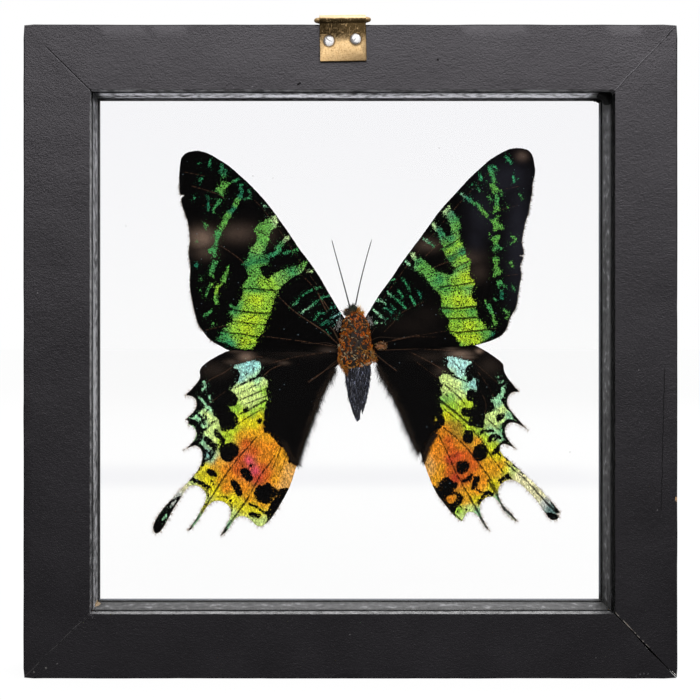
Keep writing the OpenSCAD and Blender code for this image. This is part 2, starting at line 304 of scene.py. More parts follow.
def from_line(spots, line, closed=False):
    """How far each spot is from a line."""
    ends = np.roll(line, -1, 0) if closed else line[1:]
    starts = line if closed else line[:-1]
    best = np.full(len(spots), 1e9)
    for a, b in zip(starts, ends):
        run = b - a
        along = np.clip(((spots - a) @ run) / max(run @ run, 1e-12), 0, 1)
        best = np.minimum(best, ((spots - a - along[:, None] * run) ** 2).sum(1))
    return np.sqrt(best)


def inside(spots, area):
    """Which spots lie inside a closed line, by how often a ray from each crosses it."""
    within = np.zeros(len(spots), bool)
    for a, b in zip(area, np.roll(area, -1, 0)):
        if a[1] == b[1]:
            continue
        crosses = (a[1] > spots[:, 1]) != (b[1] > spots[:, 1])
        within ^= crosses & (spots[:, 0] < (b[0] - a[0]) * (spots[:, 1] - a[1]) / (b[1] - a[1]) + a[0])
    return within


PIXEL = (MOTH_Y - CAMERA_AT.y) / FOCAL / MM       # one pixel of the photograph on the moth, in millimetres
FAR = 3.0             # beyond this many millimetres a drawn mark has no effect
NARROWEST = 2.3       # a stroke of coloured scales is at least this many pixels wide


def deep_in(spots, areas=(), strokes=(), dots=(), least=0.0):
    """How far inside the drawn areas, strokes and dots each spot lies, in millimetres, and less than 0 outside."""
    best = np.full(len(spots), -FAR)
    for pixels in areas:
        area = curve(on_moth(pixels), True)
        near = ((spots > area.min(0) - FAR) & (spots < area.max(0) + FAR)).all(1)
        some = spots[near]
        depth = from_line(some, area, True)
        best[near] = np.maximum(best[near], np.where(inside(some, area), depth, -depth))
    for width, pixels in strokes:
        line = curve(on_moth(pixels))
        near = ((spots > line.min(0) - FAR) & (spots < line.max(0) + FAR)).all(1)
        best[near] = np.maximum(best[near], max(width, least) * PIXEL / 2 - from_line(spots[near], line))
    for px, py, radius in dots:
        centre = on_moth([(px, py)])[0]
        best = np.maximum(best, radius * PIXEL - np.sqrt(((spots - centre) ** 2).sum(1)))
    return best


def blended(spots, stations, palette):
    """The colour at each spot, blended between named colours at a few stations."""
    centres = on_moth([place for places in stations.values() for place in places])
    colours = np.array([palette[name][:3] for name, places in stations.items() for place in places])
    gaps = ((spots[:, None, :] - centres[None]) ** 2).sum(2) + 0.8
    weights = gaps ** -1.9
    return (weights[:, :, None] * colours[None]).sum(1) / weights.sum(1)[:, None]


# The brown patches are partly brown scales and partly painted sheen; the two largest on the left forewing are a painted
# reflection in the glass.
# What is drawn on the wings is in the photograph's own pixels, so that each mark can be found in it again.
# areas, dark_areas and patches are closed lines. strokes, lines, shades, dark and veins are a width and a line.
# dots and freckles are a place and a radius. brown and cool are soft patches: a place, width, height and amount.
# stations are the places where a wing has each colour, which is blended between them.

SCALES = {
    "teal": tone(34, 116, 86), "sea": tone(54, 142, 92), "green": tone(72, 150, 80), "leaf": tone(102, 168, 70),
    "lime": tone(150, 197, 57), "acid": tone(186, 213, 46), "pale": tone(190, 216, 150), "moss": tone(62, 128, 66),
    "cyan": tone(150, 206, 200), "ice": tone(176, 224, 214), "mint": tone(150, 206, 160), "hay": tone(207, 227, 134),
    "yellow": tone(221, 207, 28), "gold": tone(224, 154, 30), "orange": tone(224, 134, 30), "ember": tone(203, 90, 30),
    "red": tone(188, 63, 37), "pink": tone(208, 74, 98), "tan": tone(224, 166, 88), "cream": tone(236, 228, 176),
    "ochre": tone(154, 117, 36), "mist": tone(188, 190, 182), "dusk": tone(92, 122, 118),
    "grass": tone(128, 182, 84),
}

LEFT_FOREWING = {
    "areas": [
        # main band with its upper tip and the middle branch
        [(264, 220.5), (267.5, 218), (271, 216.5), (275, 215.5), (278, 220), (277.5, 226), (274.5, 229), (270, 233),
         (269.5, 239), (268, 243), (266, 249), (263, 254), (268, 254.5), (269.5, 259), (268, 264), (261, 266.5),
         (261, 271), (264, 276), (267, 279), (271, 276), (277, 272), (284, 269), (290, 267), (299, 265), (303, 262),
         (308, 261.5), (304.5, 268), (300, 273.5), (293, 277), (288, 280.5), (283, 285), (280, 289), (277, 294),
         (276, 296), (273, 303), (271.5, 310), (270, 315), (267, 320), (265, 327), (263, 333), (259.5, 336),
         (257, 340), (257.5, 343), (254, 348), (250, 349.3), (243, 349.3), (235, 347.5), (228, 344.5), (222, 342),
         (217, 340.5), (217, 338.5), (221, 335), (221, 332), (225, 330), (222, 329), (228, 326), (226, 325),
         (230, 322.5), (232, 320), (231, 315.5), (228, 313), (229, 311), (232, 310), (229, 306), (231, 304.5),
         (236, 307), (238, 303), (241, 298), (243, 291), (242, 287), (244, 283), (247, 279), (248, 275), (245, 267),
         (241, 264), (246, 261), (248, 257), (249, 250), (254, 244), (257, 236), (254.5, 232), (255, 228),
         (258, 224.5)],
        [(222, 181), (228, 182), (231, 183.5), (226, 188), (224, 190.5), (223.5, 197), (217, 192.5), (215, 190.5),
         (220.5, 184)],
        [(213, 260), (218, 261), (216, 268), (213.5, 274), (214, 278), (209, 274), (212, 263)],
        [(229, 266), (226, 282), (221, 281), (226, 270)],
        [(220, 199), (222, 201), (216, 208), (214, 213), (212, 211), (216, 202)],
    ],
    "strokes": [
        (4.6, [(268, 256), (274, 254), (280, 250)]), (4.2, [(277, 248), (281, 244), (285, 240.5)]),
        (4, [(285.5, 239), (288.5, 237.5)]), (2.8, [(284, 253.5), (290, 251)]), (3, [(292.5, 251.5), (297, 249.5)]),
        (3, [(222, 165), (221.5, 171), (222.5, 177)]), (2.2, [(226, 170), (225, 176)]),
        (2.2, [(210.5, 160), (209, 166)]), (2, [(232, 182), (238, 179)]), (3, [(241.5, 184), (240.5, 188)]),
        (3.4, [(242, 190), (240.5, 197)]), (5, [(240.5, 196), (237, 202), (235, 206)]),
        (4.6, [(234, 208), (230, 213)]), (6, [(229.5, 213), (226, 218.5)]), (5.6, [(225, 221), (222.5, 226)]),
        (5, [(221.5, 227), (219.5, 232)]), (7, [(218.5, 232.5), (217, 235)]), (4.6, [(217, 238), (215.5, 246)]),
        (6.4, [(214, 248), (211, 250.5)]), (4.4, [(214.5, 251), (215, 255)]), (2, [(222, 284.5), (216, 287.5)]),
        (3.6, [(217, 288), (215.5, 296), (216.5, 303)]), (2, [(212, 284), (209, 288), (206, 296)]),
        (1.8, [(208, 197), (208, 210)]), (2.2, [(205, 224), (205.5, 229)]), (3, [(211, 311.5), (204, 316)]),
        (2, [(248.5, 190.5), (251, 193.5)]), (2.2, [(249, 197), (244.5, 199.5)]), (3, [(199, 181), (202, 178)]),
        (1.5, [(292.5, 306), (297, 302), (300, 297.5), (303.5, 295)]),
        (1.7, [(305.5, 293), (308.5, 291.5), (311.5, 290)]), (1.1, [(316, 288.5), (320, 287)]),
        (2.3, [(302.5, 313), (304.5, 310.5)]), (1.7, [(305, 310), (310, 307), (314, 304), (318, 300.5)]),
        (1, [(321, 298.5), (324, 297.3)]), (1, [(327, 296.5), (330.5, 295.5)]),
        (1.9, [(314.5, 319.5), (316.5, 316)]), (1.4, [(317, 315.5), (320, 313.5), (324.5, 313.5)]),
        (1.4, [(330, 309), (332.5, 307.3), (335.5, 306.5)]), (1.6, [(331, 318), (335, 316)]),
        (1.4, [(336, 315.5), (339.5, 313.5)]), (1.2, [(325, 322), (327.5, 320.5)]),
        (2.6, [(308, 271.5), (312, 271)]), (1.1, [(321, 325), (324, 323.5)]), (1, [(329, 323), (332, 322)]),
    ],
    "dots": [
        (199, 163.5, 1.2), (264.5, 206.5, 1.6), (201, 279, 1.2), (197, 241.5, 1.3), (196, 265, 2), (200, 290, 1.3),
        (213, 324, 1.6), (194.5, 198, 1.4), (207.5, 226, 1), (332, 303.5, 0.8), (328, 311.5, 0.6), (318, 323, 0.7),
        (326, 330, 0.7), (328, 332, 0.6), (334, 325, 0.7), (337, 320.5, 0.7), (322, 319, 0.6), (333, 312, 0.6),
    ],
    "lines": [
        (1.7, [(244, 288.5), (258, 289), (276, 291)]), (1.8, [(231, 309), (243, 311.5), (258, 313), (271, 313)]),
        (1.5, [(230, 321), (243, 322.5), (255, 324), (267, 325)]),
        (1.6, [(221, 331), (232, 333), (245, 334.5), (261, 338)]), (1, [(271.5, 217), (273.5, 221), (277, 226)]),
        (1.1, [(249, 251.5), (259, 255), (269, 260)]),
        (0.9, [(246, 266), (256, 273), (263, 279), (270, 287), (279, 297)]),
        (1, [(257, 230), (264, 234), (269, 237)]), (0.8, [(297, 265), (300, 271)]), (0.8, [(301, 264), (302, 270)]),
        (0.7, [(232, 344), (245, 345), (256, 343)]),
    ],
    "shades": [
        (6, [(244, 265), (256, 262), (268, 260)]), (3.4, [(244, 290), (258, 290.5), (272, 292.5)]),
        (2.6, [(232, 310.5), (245, 313.5), (270, 314.5)]), (2.4, [(231, 322.5), (247, 324.5), (264, 326)]),
        (3, [(221, 334), (232, 334.5), (245, 336), (260, 339)]),
        (3.4, [(218, 336), (221, 343), (234, 348.5), (250, 350)]), (2.4, [(281, 272), (286, 279)]),
        (2, [(290, 268), (295, 275)]), (3.6, [(276, 243), (281, 250)]), (2.6, [(216, 205), (222, 199)]),
        (3, [(232, 207), (238, 211)]), (2.6, [(224, 219), (230, 222)]), (2, [(214, 236), (220, 238)]),
        (4, [(267, 252), (270, 258)]), (2, [(256, 238), (266, 244)]), (2.6, [(243, 299), (241, 308)]),
        (2, [(216, 290), (217, 300)]),
    ],
    "veins": [
        (0.9, [(192, 186), (215, 193), (224, 198)]), (0.9, [(221, 246), (236, 256), (246, 265)]),
        (1, [(279, 297), (294, 311), (310, 322)]), (1.2, [(310, 322), (325, 332), (338, 344)]),
        (1.2, [(318, 293), (322, 302), (327, 312)]), (1, [(323, 300), (329, 309)]), (1.3, [(333, 329), (341, 345)]),
        (0.8, [(262, 336), (300, 341), (340, 347)]), (0.7, [(185, 172), (205, 176)]),
        (0.7, [(300, 274), (310, 283), (318, 293)]), (0.8, [(206, 330), (232, 324)]),
        (0.6, [(200, 206), (216, 204)]), (0.6, [(254, 200), (262, 208), (282, 234), (300, 262), (318, 286)]),
    ],
    # The first two brown patches are a painted reflection in the glass.
    "brown": [
        (202, 238, 14, 10, 1), (238, 233, 20, 10, 0.32), (270, 234, 9, 12, 0.12), (328, 351, 9, 4, 0.26),
        (205, 252, 12, 8, 0.3),
    ],
    "stations": {
        "pale": [(276, 219), (287, 238), (310, 271)],
        "leaf": [(268, 223), (262, 229), (264, 240), (256, 268), (252, 276), (250, 284), (304, 265), (256, 288),
            (236, 203), (227, 217), (222, 225), (224, 186), (225, 276), (216, 300)],
        "grass": [(257, 250), (280, 278)],
        "moss": [(262, 258), (216, 244)],
        "green": [(253, 259), (245, 264), (292, 270), (224, 337), (234, 308), (281, 245), (295, 250), (218, 233),
            (212, 250), (216, 205), (214, 266), (208, 290), (207, 314)],
        "lime": [(262, 284), (270, 284), (250, 310), (236, 334), (251, 347), (262, 330), (268, 308), (216, 290)],
        "acid": [(256, 300), (252, 317), (246, 328), (247, 341)],
        "sea": [(229, 343), (273, 253), (287, 252), (240, 186), (223, 168), (210, 162), (200, 179), (300, 300),
            (318, 300), (318, 318), (308, 292)],
        "teal": [(241, 194), (232, 210), (206, 204), (330, 315), (334, 308), (325, 324), (194, 265)],
        "mint": [(264.5, 206.5), (304, 311)],
        "cyan": [(337, 315)],
    },
}

RIGHT_FOREWING = {
    "areas": [
        [(452, 209), (453.5, 212), (455.5, 215), (459, 219), (460.5, 225), (461.5, 228), (459, 230), (460, 235),
         (461, 240), (463, 244), (465, 248), (466, 250), (466, 256), (469, 258), (471.5, 261), (470, 265),
         (470, 275), (473, 279), (474.5, 281), (475, 284), (473.5, 288), (472.5, 292), (472, 296), (474, 299),
         (476.5, 303), (477, 306), (476, 309), (478, 312), (477.5, 315), (480, 319), (483, 322.5), (486, 326),
         (488, 329), (490, 331), (493, 331.5), (495.5, 335), (490.5, 337), (489, 339), (483, 342), (477, 344.5),
         (470, 345.5), (464, 346), (460, 346), (459, 343), (456.5, 340), (456, 337), (452, 334), (449.5, 332),
         (449, 328), (448.5, 325), (449, 321), (447.5, 318), (445, 315), (441.5, 311), (442, 308), (441, 303),
         (441, 297), (439, 293), (436, 290.5), (433, 288), (430, 284), (427, 280), (424, 276), (419, 272),
         (415, 270), (413.5, 266), (415, 262.5), (412.5, 259), (410.5, 255.5), (410.5, 252.5), (413.5, 251.5),
         (415.5, 254.5), (417, 258), (420, 257.5), (423, 259), (427, 262), (431, 266), (436, 270), (440, 272.5),
         (445, 273), (449, 274.5), (452, 272.5), (454.5, 270), (455.5, 268), (452, 265), (449, 261), (445, 257),
         (444.5, 254), (443, 250), (442, 248), (443, 246), (441, 243), (440, 240), (437.5, 234), (435.5, 230),
         (437, 228), (440, 226.5), (442, 229), (444, 232), (446, 236), (448, 236), (450, 235), (451, 231),
         (450, 223), (447, 218), (446.5, 214), (449, 211)],
        [(489.5, 184), (492, 183), (495, 184), (497, 187), (501, 190), (498.5, 191), (496, 194), (493, 193),
         (492, 190), (490, 186)],
        [(494, 204.5), (498.5, 203), (500, 209), (500, 211), (496, 212), (493, 213.5), (494, 209)],
        [(488.5, 218), (492, 219.5), (497, 216), (499, 215), (499, 220), (500, 223), (502, 224), (504, 228.5),
         (502, 230), (499, 229), (497, 231), (494, 232), (493, 230), (493, 225), (491, 222), (489.5, 220)],
        [(491.5, 237), (495, 236), (500, 235), (500, 240), (497, 243), (501, 247), (503.5, 248.5), (501, 250.5),
         (497, 248.5), (495, 252), (493, 252), (492, 249), (494, 245), (492, 241)],
        [(493, 256.5), (498, 257), (499, 260), (498, 264.5), (494, 264), (493, 260)],
        [(494, 266), (498, 266), (500.5, 269), (502, 271), (500, 275), (497, 275), (495, 277.5), (492, 277),
         (493.5, 273), (494, 269)],
        [(497, 280), (501, 280), (503, 283), (507, 286), (505, 289), (503, 287), (500, 285), (499, 289),
         (497.5, 286), (496.5, 282)],
    ],
    "strokes": [
        (3.6, [(443.5, 213.5), (448, 209.5)]), (4.4, [(433.5, 224), (435.5, 228.5)]),
        (3, [(406, 261.5), (409.5, 264.5)]), (3.4, [(507, 157), (508.5, 159.5), (511, 163)]),
        (3.2, [(489, 167), (492, 165.5), (495, 167)]), (5.2, [(490.5, 170), (492, 174.5)]),
        (2, [(497, 169), (496, 171)]), (3, [(480, 175), (481, 180)]), (2, [(478, 188), (480, 191)]),
        (5, [(493, 179), (494.5, 182)]), (1.8, [(500.5, 191), (502, 195)]), (3, [(513, 176), (514, 181)]),
        (2, [(520, 193), (522, 199)]), (4.4, [(497, 197), (497, 203)]), (1.6, [(488, 197), (492, 200)]),
        (2.4, [(461.5, 194), (463, 195)]), (3.4, [(464, 196), (469, 199.5), (475, 204)]),
        (2.6, [(477, 203), (479.5, 207)]), (3.8, [(479.5, 207), (483, 211), (487, 216)]),
        (3.4, [(502, 291), (502, 298)]), (2, [(494, 298), (496, 300)]), (2, [(486, 300.5), (486.5, 303.5)]),
        (4.2, [(488.5, 306), (491, 309.5)]), (3.4, [(491, 309), (493, 314.5)]), (2.4, [(493, 314), (494, 319)]),
        (3.6, [(494, 319), (495.5, 324)]), (1.7, [(504, 309), (508, 315), (507, 318)]),
        (1.6, [(512, 286), (514, 290)]), (1.4, [(510, 262), (513, 266)]),
        (1.7, [(512, 237), (516, 239), (511, 244)]), (1.8, [(507.5, 206), (508, 207)]),
        (1.9, [(377, 300.5), (382, 301.5), (386, 304.5)]), (2.4, [(372.5, 309.3), (374.5, 310.5), (377, 312)]),
        (1.4, [(378, 313), (380.5, 315.5), (383, 318)]),
        (1.8, [(393.5, 296.5), (397, 299.5), (401, 303), (406, 308.5)]),
        (1.6, [(398.5, 290.5), (401, 294), (403, 297)]),
        (1.7, [(402.5, 278.5), (405, 282), (408, 286), (410, 290.5)]),
        (1.7, [(410.5, 296), (413, 300), (415, 305)]), (1.2, [(418, 291), (420, 294.5), (421, 298)]),
        (2.2, [(423.5, 239), (427, 240)]), (2, [(428.5, 242), (433.5, 246)]), (1.9, [(375, 323), (377, 322)]),
        (1, [(385, 308), (388, 309.5)]), (0.9, [(390, 311), (393, 313)]), (0.9, [(392, 306), (395, 309)]),
        (0.9, [(392, 280), (395, 279)]), (0.9, [(388, 292), (391, 296)]),
    ],
    "dots": [
        (449.5, 207, 1.3), (472, 184, 1.5), (487, 182, 1.2), (492, 327, 1.2), (489.5, 234, 1.3), (387, 318.5, 1),
        (382, 323, 0.8), (389, 296, 0.6), (509, 313, 1.1), (518, 179, 1), (491, 308, 1), (394, 313, 0.6),
        (399, 313, 0.6), (397, 309, 0.5), (395, 319, 0.6), (389, 314, 0.6), (492, 335, 1.6), (385, 322, 0.5),
        (494, 331, 1), (387, 312, 0.5),
    ],
    "lines": [
        (1.5, [(440, 287), (452, 286), (460, 285), (470, 283), (476, 282)]),
        (1.9, [(440, 307.8), (455, 308.5), (465, 307.5), (478, 306)]),
        (1.8, [(447, 318.5), (460, 318.5), (479, 317.5)]),
        (1.8, [(449, 331), (458, 332.5), (466, 331.5), (480, 330.5), (489, 329)]),
        (1.2, [(442, 248), (451, 244), (461, 237)]), (1.2, [(445, 257), (456, 254), (466, 249)]),
        (1.2, [(455, 268), (463, 264), (471, 260)]), (1, [(449, 274.5), (460, 270), (470, 266)]),
        (1, [(441, 236), (447, 240), (449, 243)]), (0.9, [(446, 236), (455, 233), (460, 230)]),
        (0.8, [(416, 261), (419, 264), (421, 262)]),
    ],
    "shades": [
        (5, [(447, 260), (455, 257.5), (465, 251)]), (4.4, [(448, 277), (456, 270.5), (470, 262.5)]),
        (4, [(440, 289), (455, 289), (473, 286.5)]), (4.4, [(442, 310), (455, 311.5), (479, 309)]),
        (2.6, [(447, 320.5), (460, 321), (482, 319.5)]), (2.8, [(451, 333), (466, 334), (488, 331)]),
        (3.4, [(450, 233), (460, 228)]), (3.4, [(443, 249), (455, 244), (464, 238)]),
        (2.4, [(441, 236), (438, 240)]), (2, [(419, 259), (425, 266)]), (3, [(436, 272), (441, 281)]),
        (2.4, [(484, 341), (495, 335)]), (2.6, [(453, 211), (458, 219)]), (2.4, [(438, 229), (442, 236)]),
        (2.4, [(490, 176), (494, 184)]), (2.6, [(492, 206), (499, 204)]), (2.6, [(490, 219), (500, 217)]),
        (2.6, [(492, 238), (499, 237)]), (2.4, [(441, 300), (444, 308)]), (2.6, [(493, 258), (499, 258)]),
    ],
    "veins": [
        (0.9, [(448, 262), (437, 266), (430, 270)]), (0.8, [(426, 256), (432, 250), (442, 242)]),
        (0.7, [(370, 346), (410, 337), (446, 331)]), (0.7, [(372, 350), (400, 338), (436, 337)]),
        (0.7, [(396, 316), (410, 308), (424, 302)]), (0.6, [(500, 190), (520, 186)]),
        (0.6, [(500, 210), (518, 205)]), (0.6, [(505, 276), (520, 274)]),
        (0.6, [(382, 300), (410, 262), (440, 226), (465, 197), (490, 172)]),
        (0.8, [(384, 332), (392, 324), (397, 318)]), (0.6, [(478, 330), (500, 328)]),
    ],
    "brown": [
        (428, 245, 14, 7, 0.3), (468, 258, 16, 8, 0.22), (478, 272, 10, 10, 0.15), (522, 156, 6, 5, 0.5),
        (410, 325, 30, 12, 0.03), (427, 316, 18, 12, 0.03),
    ],
    "cool": [
        (518, 240, 13, 70, 1), (507, 178, 24, 18, 1), (482, 215, 16, 26, 0.8), (476, 240, 10, 16, 0.6),
    ],
    "stations": {
        "teal": [(452, 211), (438, 228), (494, 335), (467, 198), (502, 295), (390, 315), (388, 309), (420, 294)],
        "sea": [(449, 214), (442, 232), (452, 238), (462, 252), (431, 244), (509, 160), (492, 167), (481, 178),
            (472, 184), (514, 179), (400, 301), (404, 284), (414, 301)],
        "green": [(455, 219), (440, 280), (418, 262), (492, 174), (497, 200), (475, 204), (499, 248), (502, 284),
            (490, 308)],
        "leaf": [(457, 226), (448, 246), (447, 284), (432, 272), (422, 266), (446, 291), (446, 311), (472, 313),
            (486, 334), (458, 345), (494, 188), (496, 209), (484, 212), (496, 222), (498, 228), (496, 240),
            (496, 260), (497, 271), (494, 321)],
        "grass": [(454, 232), (463, 267), (455, 273), (468, 290)],
        "lime": [(458, 244), (450, 250), (461, 259), (468, 260), (456, 281), (458, 291), (446, 301), (458, 313),
            (456, 325), (482, 326)],
        "moss": [(452, 257)],
        "acid": [(464, 277), (470, 279), (458, 300), (470, 301), (470, 325), (461, 338), (475, 338)],
        "pale": [(412, 254), (446, 212), (434, 226), (449.5, 207)],
        "mint": [(407, 262), (425, 240), (462, 194), (380, 302), (375, 311), (376, 322)],
    },
}

LEFT_HINDWING = {
    "areas": [
        [(232, 389), (238, 386), (250, 381.5), (256, 378.6), (263, 377.4), (267, 380), (268, 385), (266.5, 390.5),
         (268, 397), (266.4, 403), (265, 411.4), (263.6, 420), (263.6, 426), (264, 433), (268.6, 433.6),
         (274, 438.6), (278.6, 445), (285, 449.3), (288, 455.7), (289, 463), (297, 464), (301, 470), (297, 480),
         (287, 491.5), (279.3, 490), (277, 496), (271, 505), (266, 519), (266, 535), (240, 548), (140, 548),
         (136, 500), (170, 470), (170, 425), (184, 417), (191, 418), (196, 415), (203, 409), (210.7, 406.4),
         (212.9, 414.3), (218.6, 420), (220, 428.6), (224, 431.4), (229, 430), (235, 428), (238, 423), (236, 414),
         (231, 411), (230.5, 407), (236, 405), (237.5, 399), (236, 395), (231, 391)],
        [(234, 366), (243, 363), (250, 361), (258, 361), (261, 364), (260, 370), (257, 376), (250, 379), (245, 382),
         (236, 387), (231, 389), (238, 381), (240, 375), (239, 370), (235, 368.5)],
    ],
    "patches": [
        [(176.5, 499.5), (175, 503), (170.5, 508), (169.5, 507), (173, 501.5)],
        [(168, 513), (167, 516.5), (162.5, 521), (162, 518.5), (165, 515)],
    ],
    "strokes": [
        (1.7, [(204, 382), (205, 386), (202, 390)]), (1.6, [(209, 396), (210.8, 401)]),
        (1.4, [(199.5, 397.5), (204, 402), (206.5, 407)]),
    ],
    "lines": [
        (1.4, [(256, 437), (248, 447), (240, 456), (230, 469), (222, 480)]),
        (1.8, [(222, 480), (214, 493), (205, 507), (196, 520), (188, 531)]),
        (1.3, [(270, 463), (262, 473), (254, 487), (248, 498)]),
        (1.9, [(248, 498), (241, 508), (232, 520), (221, 535)]), (0.8, [(281, 446), (277, 458), (272, 470)]),
        (0.8, [(288, 450), (285, 460), (281, 471)]), (1.4, [(240, 400), (252, 395), (267, 388)]),
        (1.2, [(244, 405), (256, 400), (267, 396)]), (1.9, [(240, 414), (252, 408), (266, 400)]),
        (1, [(238, 424), (250, 416), (265, 408)]), (0.8, [(229, 430), (222, 440), (212, 452), (202, 466)]),
        (0.7, [(236, 395), (248, 389), (262, 382)]), (0.6, [(275, 455), (270, 463), (266, 470)]),
    ],
    "dark": [
        (6.2, [(184, 419), (191, 421.5), (197, 425), (199.5, 431), (200, 437)]),
        (6, [(200, 435), (198.5, 440), (193, 445), (184, 450.5)]),
        (5.6, [(184, 450.5), (191, 447.5), (197.5, 445.5), (202, 449), (203.5, 456), (202, 464)]),
        (4.4, [(194.5, 480.5), (201, 483), (208, 487)]), (2, [(190, 479), (193, 481)]),
        (4.4, [(251, 514), (259, 516)]), (2.6, [(249, 504), (257, 507)]), (2.4, [(260, 510), (266, 513)]),
        (2.4, [(206, 450), (210, 454)]), (5, [(216, 431), (219, 436), (223, 441)]), (1.4, [(209, 452), (214, 449)]),
        (1.8, [(214, 421), (207, 428), (202, 432)]), (3.2, [(202, 418), (204, 424)]),
        (2.4, [(206, 416), (206.5, 419)]), (2, [(199, 415), (201, 418)]), (2, [(196, 431), (206, 429)]),
        (1.4, [(208, 410), (204, 415)]), (1.2, [(215, 428), (220, 433)]),
        (1.3, [(194, 462), (200, 468), (190, 479)]), (1.2, [(206, 488), (208, 497), (203, 506)]),
        (1.3, [(219, 497), (226, 497), (231, 502)]), (1.4, [(231, 500), (232, 508), (228, 517)]),
        (2.4, [(217, 444), (213, 455), (207, 461)]),
    ],
    "dark_areas": [
        [(219.5, 446), (224, 443.5), (232, 442.5), (237, 445), (239, 450), (237, 456), (232, 461), (228, 462),
         (222, 459), (220, 453)],
        [(206, 470), (210, 469), (214.5, 471), (217.5, 476.5), (213, 476.5), (208, 474)],
        [(240, 471), (244, 468), (249, 470), (253, 478), (249.5, 482), (245, 479)],
        [(230, 481), (236, 480.5), (240, 486), (242.5, 493), (240, 497), (235, 492)],
        [(254, 491), (258, 486), (264, 485), (268, 482), (272, 486), (277, 490), (279, 493), (274, 498), (271, 502),
         (265, 504), (259, 502), (255, 498)],
        [(203, 437), (210, 438), (216, 446), (214, 449.5), (208, 445)],
        [(279, 490), (290, 489), (290, 505), (280, 522), (268, 530), (266, 519), (270, 505), (276, 497)],
        [(173, 499), (180, 496), (183, 500), (178, 509), (168, 522), (160, 534), (148, 540), (140, 530), (150, 518),
         (162, 506)],
        [(186, 521), (191, 523), (192, 530), (186, 536), (184, 530)],
        [(222, 527), (227, 529), (224, 538), (217, 540)],
    ],
    "freckles": [
        (246, 410, 2.8), (259.5, 421, 2.6), (212, 481, 1.4), (251, 466, 1.6), (253, 369, 1), (246, 374, 0.9),
        (200, 423, 2), (213, 484, 1.2), (242, 466, 0.8),
    ],
    "veins": [
        (0.9, [(233, 366), (225, 372), (213, 378), (204, 384)]), (0.8, [(226, 391), (218, 397), (208, 405)]),
        (1, [(338, 362), (323, 372), (308, 382)]), (0.8, [(330, 352), (300, 356), (268, 364)]),
        (0.9, [(281, 365), (270, 370), (262, 378)]), (0.6, [(212, 366), (204, 374)]),
        (0.9, [(262, 357), (248, 358), (236, 365)]),
    ],
    "brown": [
        (246, 357, 8, 5, 1), (262, 361, 16, 3, 0.14), (300, 353, 30, 5, 0.05), (215, 370, 16, 8, 0.1),
        (232, 362, 8, 3, 0.3), (238, 351, 10, 2.5, 0.3), (284, 363, 6, 2, 0.3),
    ],
    "stations": {
        "cyan": [(248, 368), (240, 379), (252, 365), (207, 455)],
        "mint": [(258, 380), (198, 418), (204, 441), (203, 425), (209, 408), (212, 458), (194, 516), (226, 524),
            (204, 386), (201, 402), (210, 398), (166, 516)],
        "hay": [(240, 387), (250, 386), (262, 383), (245, 392), (258, 397), (247, 400), (250, 404), (252, 520),
            (262, 522), (206, 414), (213, 422), (208, 431), (212, 440), (192, 480), (204, 500), (234, 514),
            (216, 514)],
        "lime": [(264, 391), (236, 408), (263, 405), (254, 412)],
        "acid": [(243, 414), (236, 430), (228, 434), (222, 442)],
        "yellow": [(259, 416), (245, 421), (254, 425), (214, 475), (234, 500), (208, 480), (214, 490), (200, 476),
            (222, 500), (240, 508), (250, 510), (206, 467), (206, 505), (258, 512)],
        "gold": [(240, 434), (252, 433), (263, 430), (268, 437), (278, 455), (285, 455), (281, 468), (274, 478),
            (218, 462), (213, 469), (220, 478), (250, 497), (262, 504)],
        "ember": [(246, 443), (254, 452), (241, 458), (262, 468), (244, 464), (236, 470), (268, 476)],
        "orange": [(262, 445), (272, 448), (262, 458), (270, 457), (224, 470), (230, 476), (226, 488), (244, 488)],
        "pink": [(248, 461), (256, 471)],
        "red": [(258, 477)],
        "tan": [(287, 470), (292, 474), (286, 485)],
        "cream": [(185, 487)],
        "mist": [(178, 493), (170, 500)],
    },
}

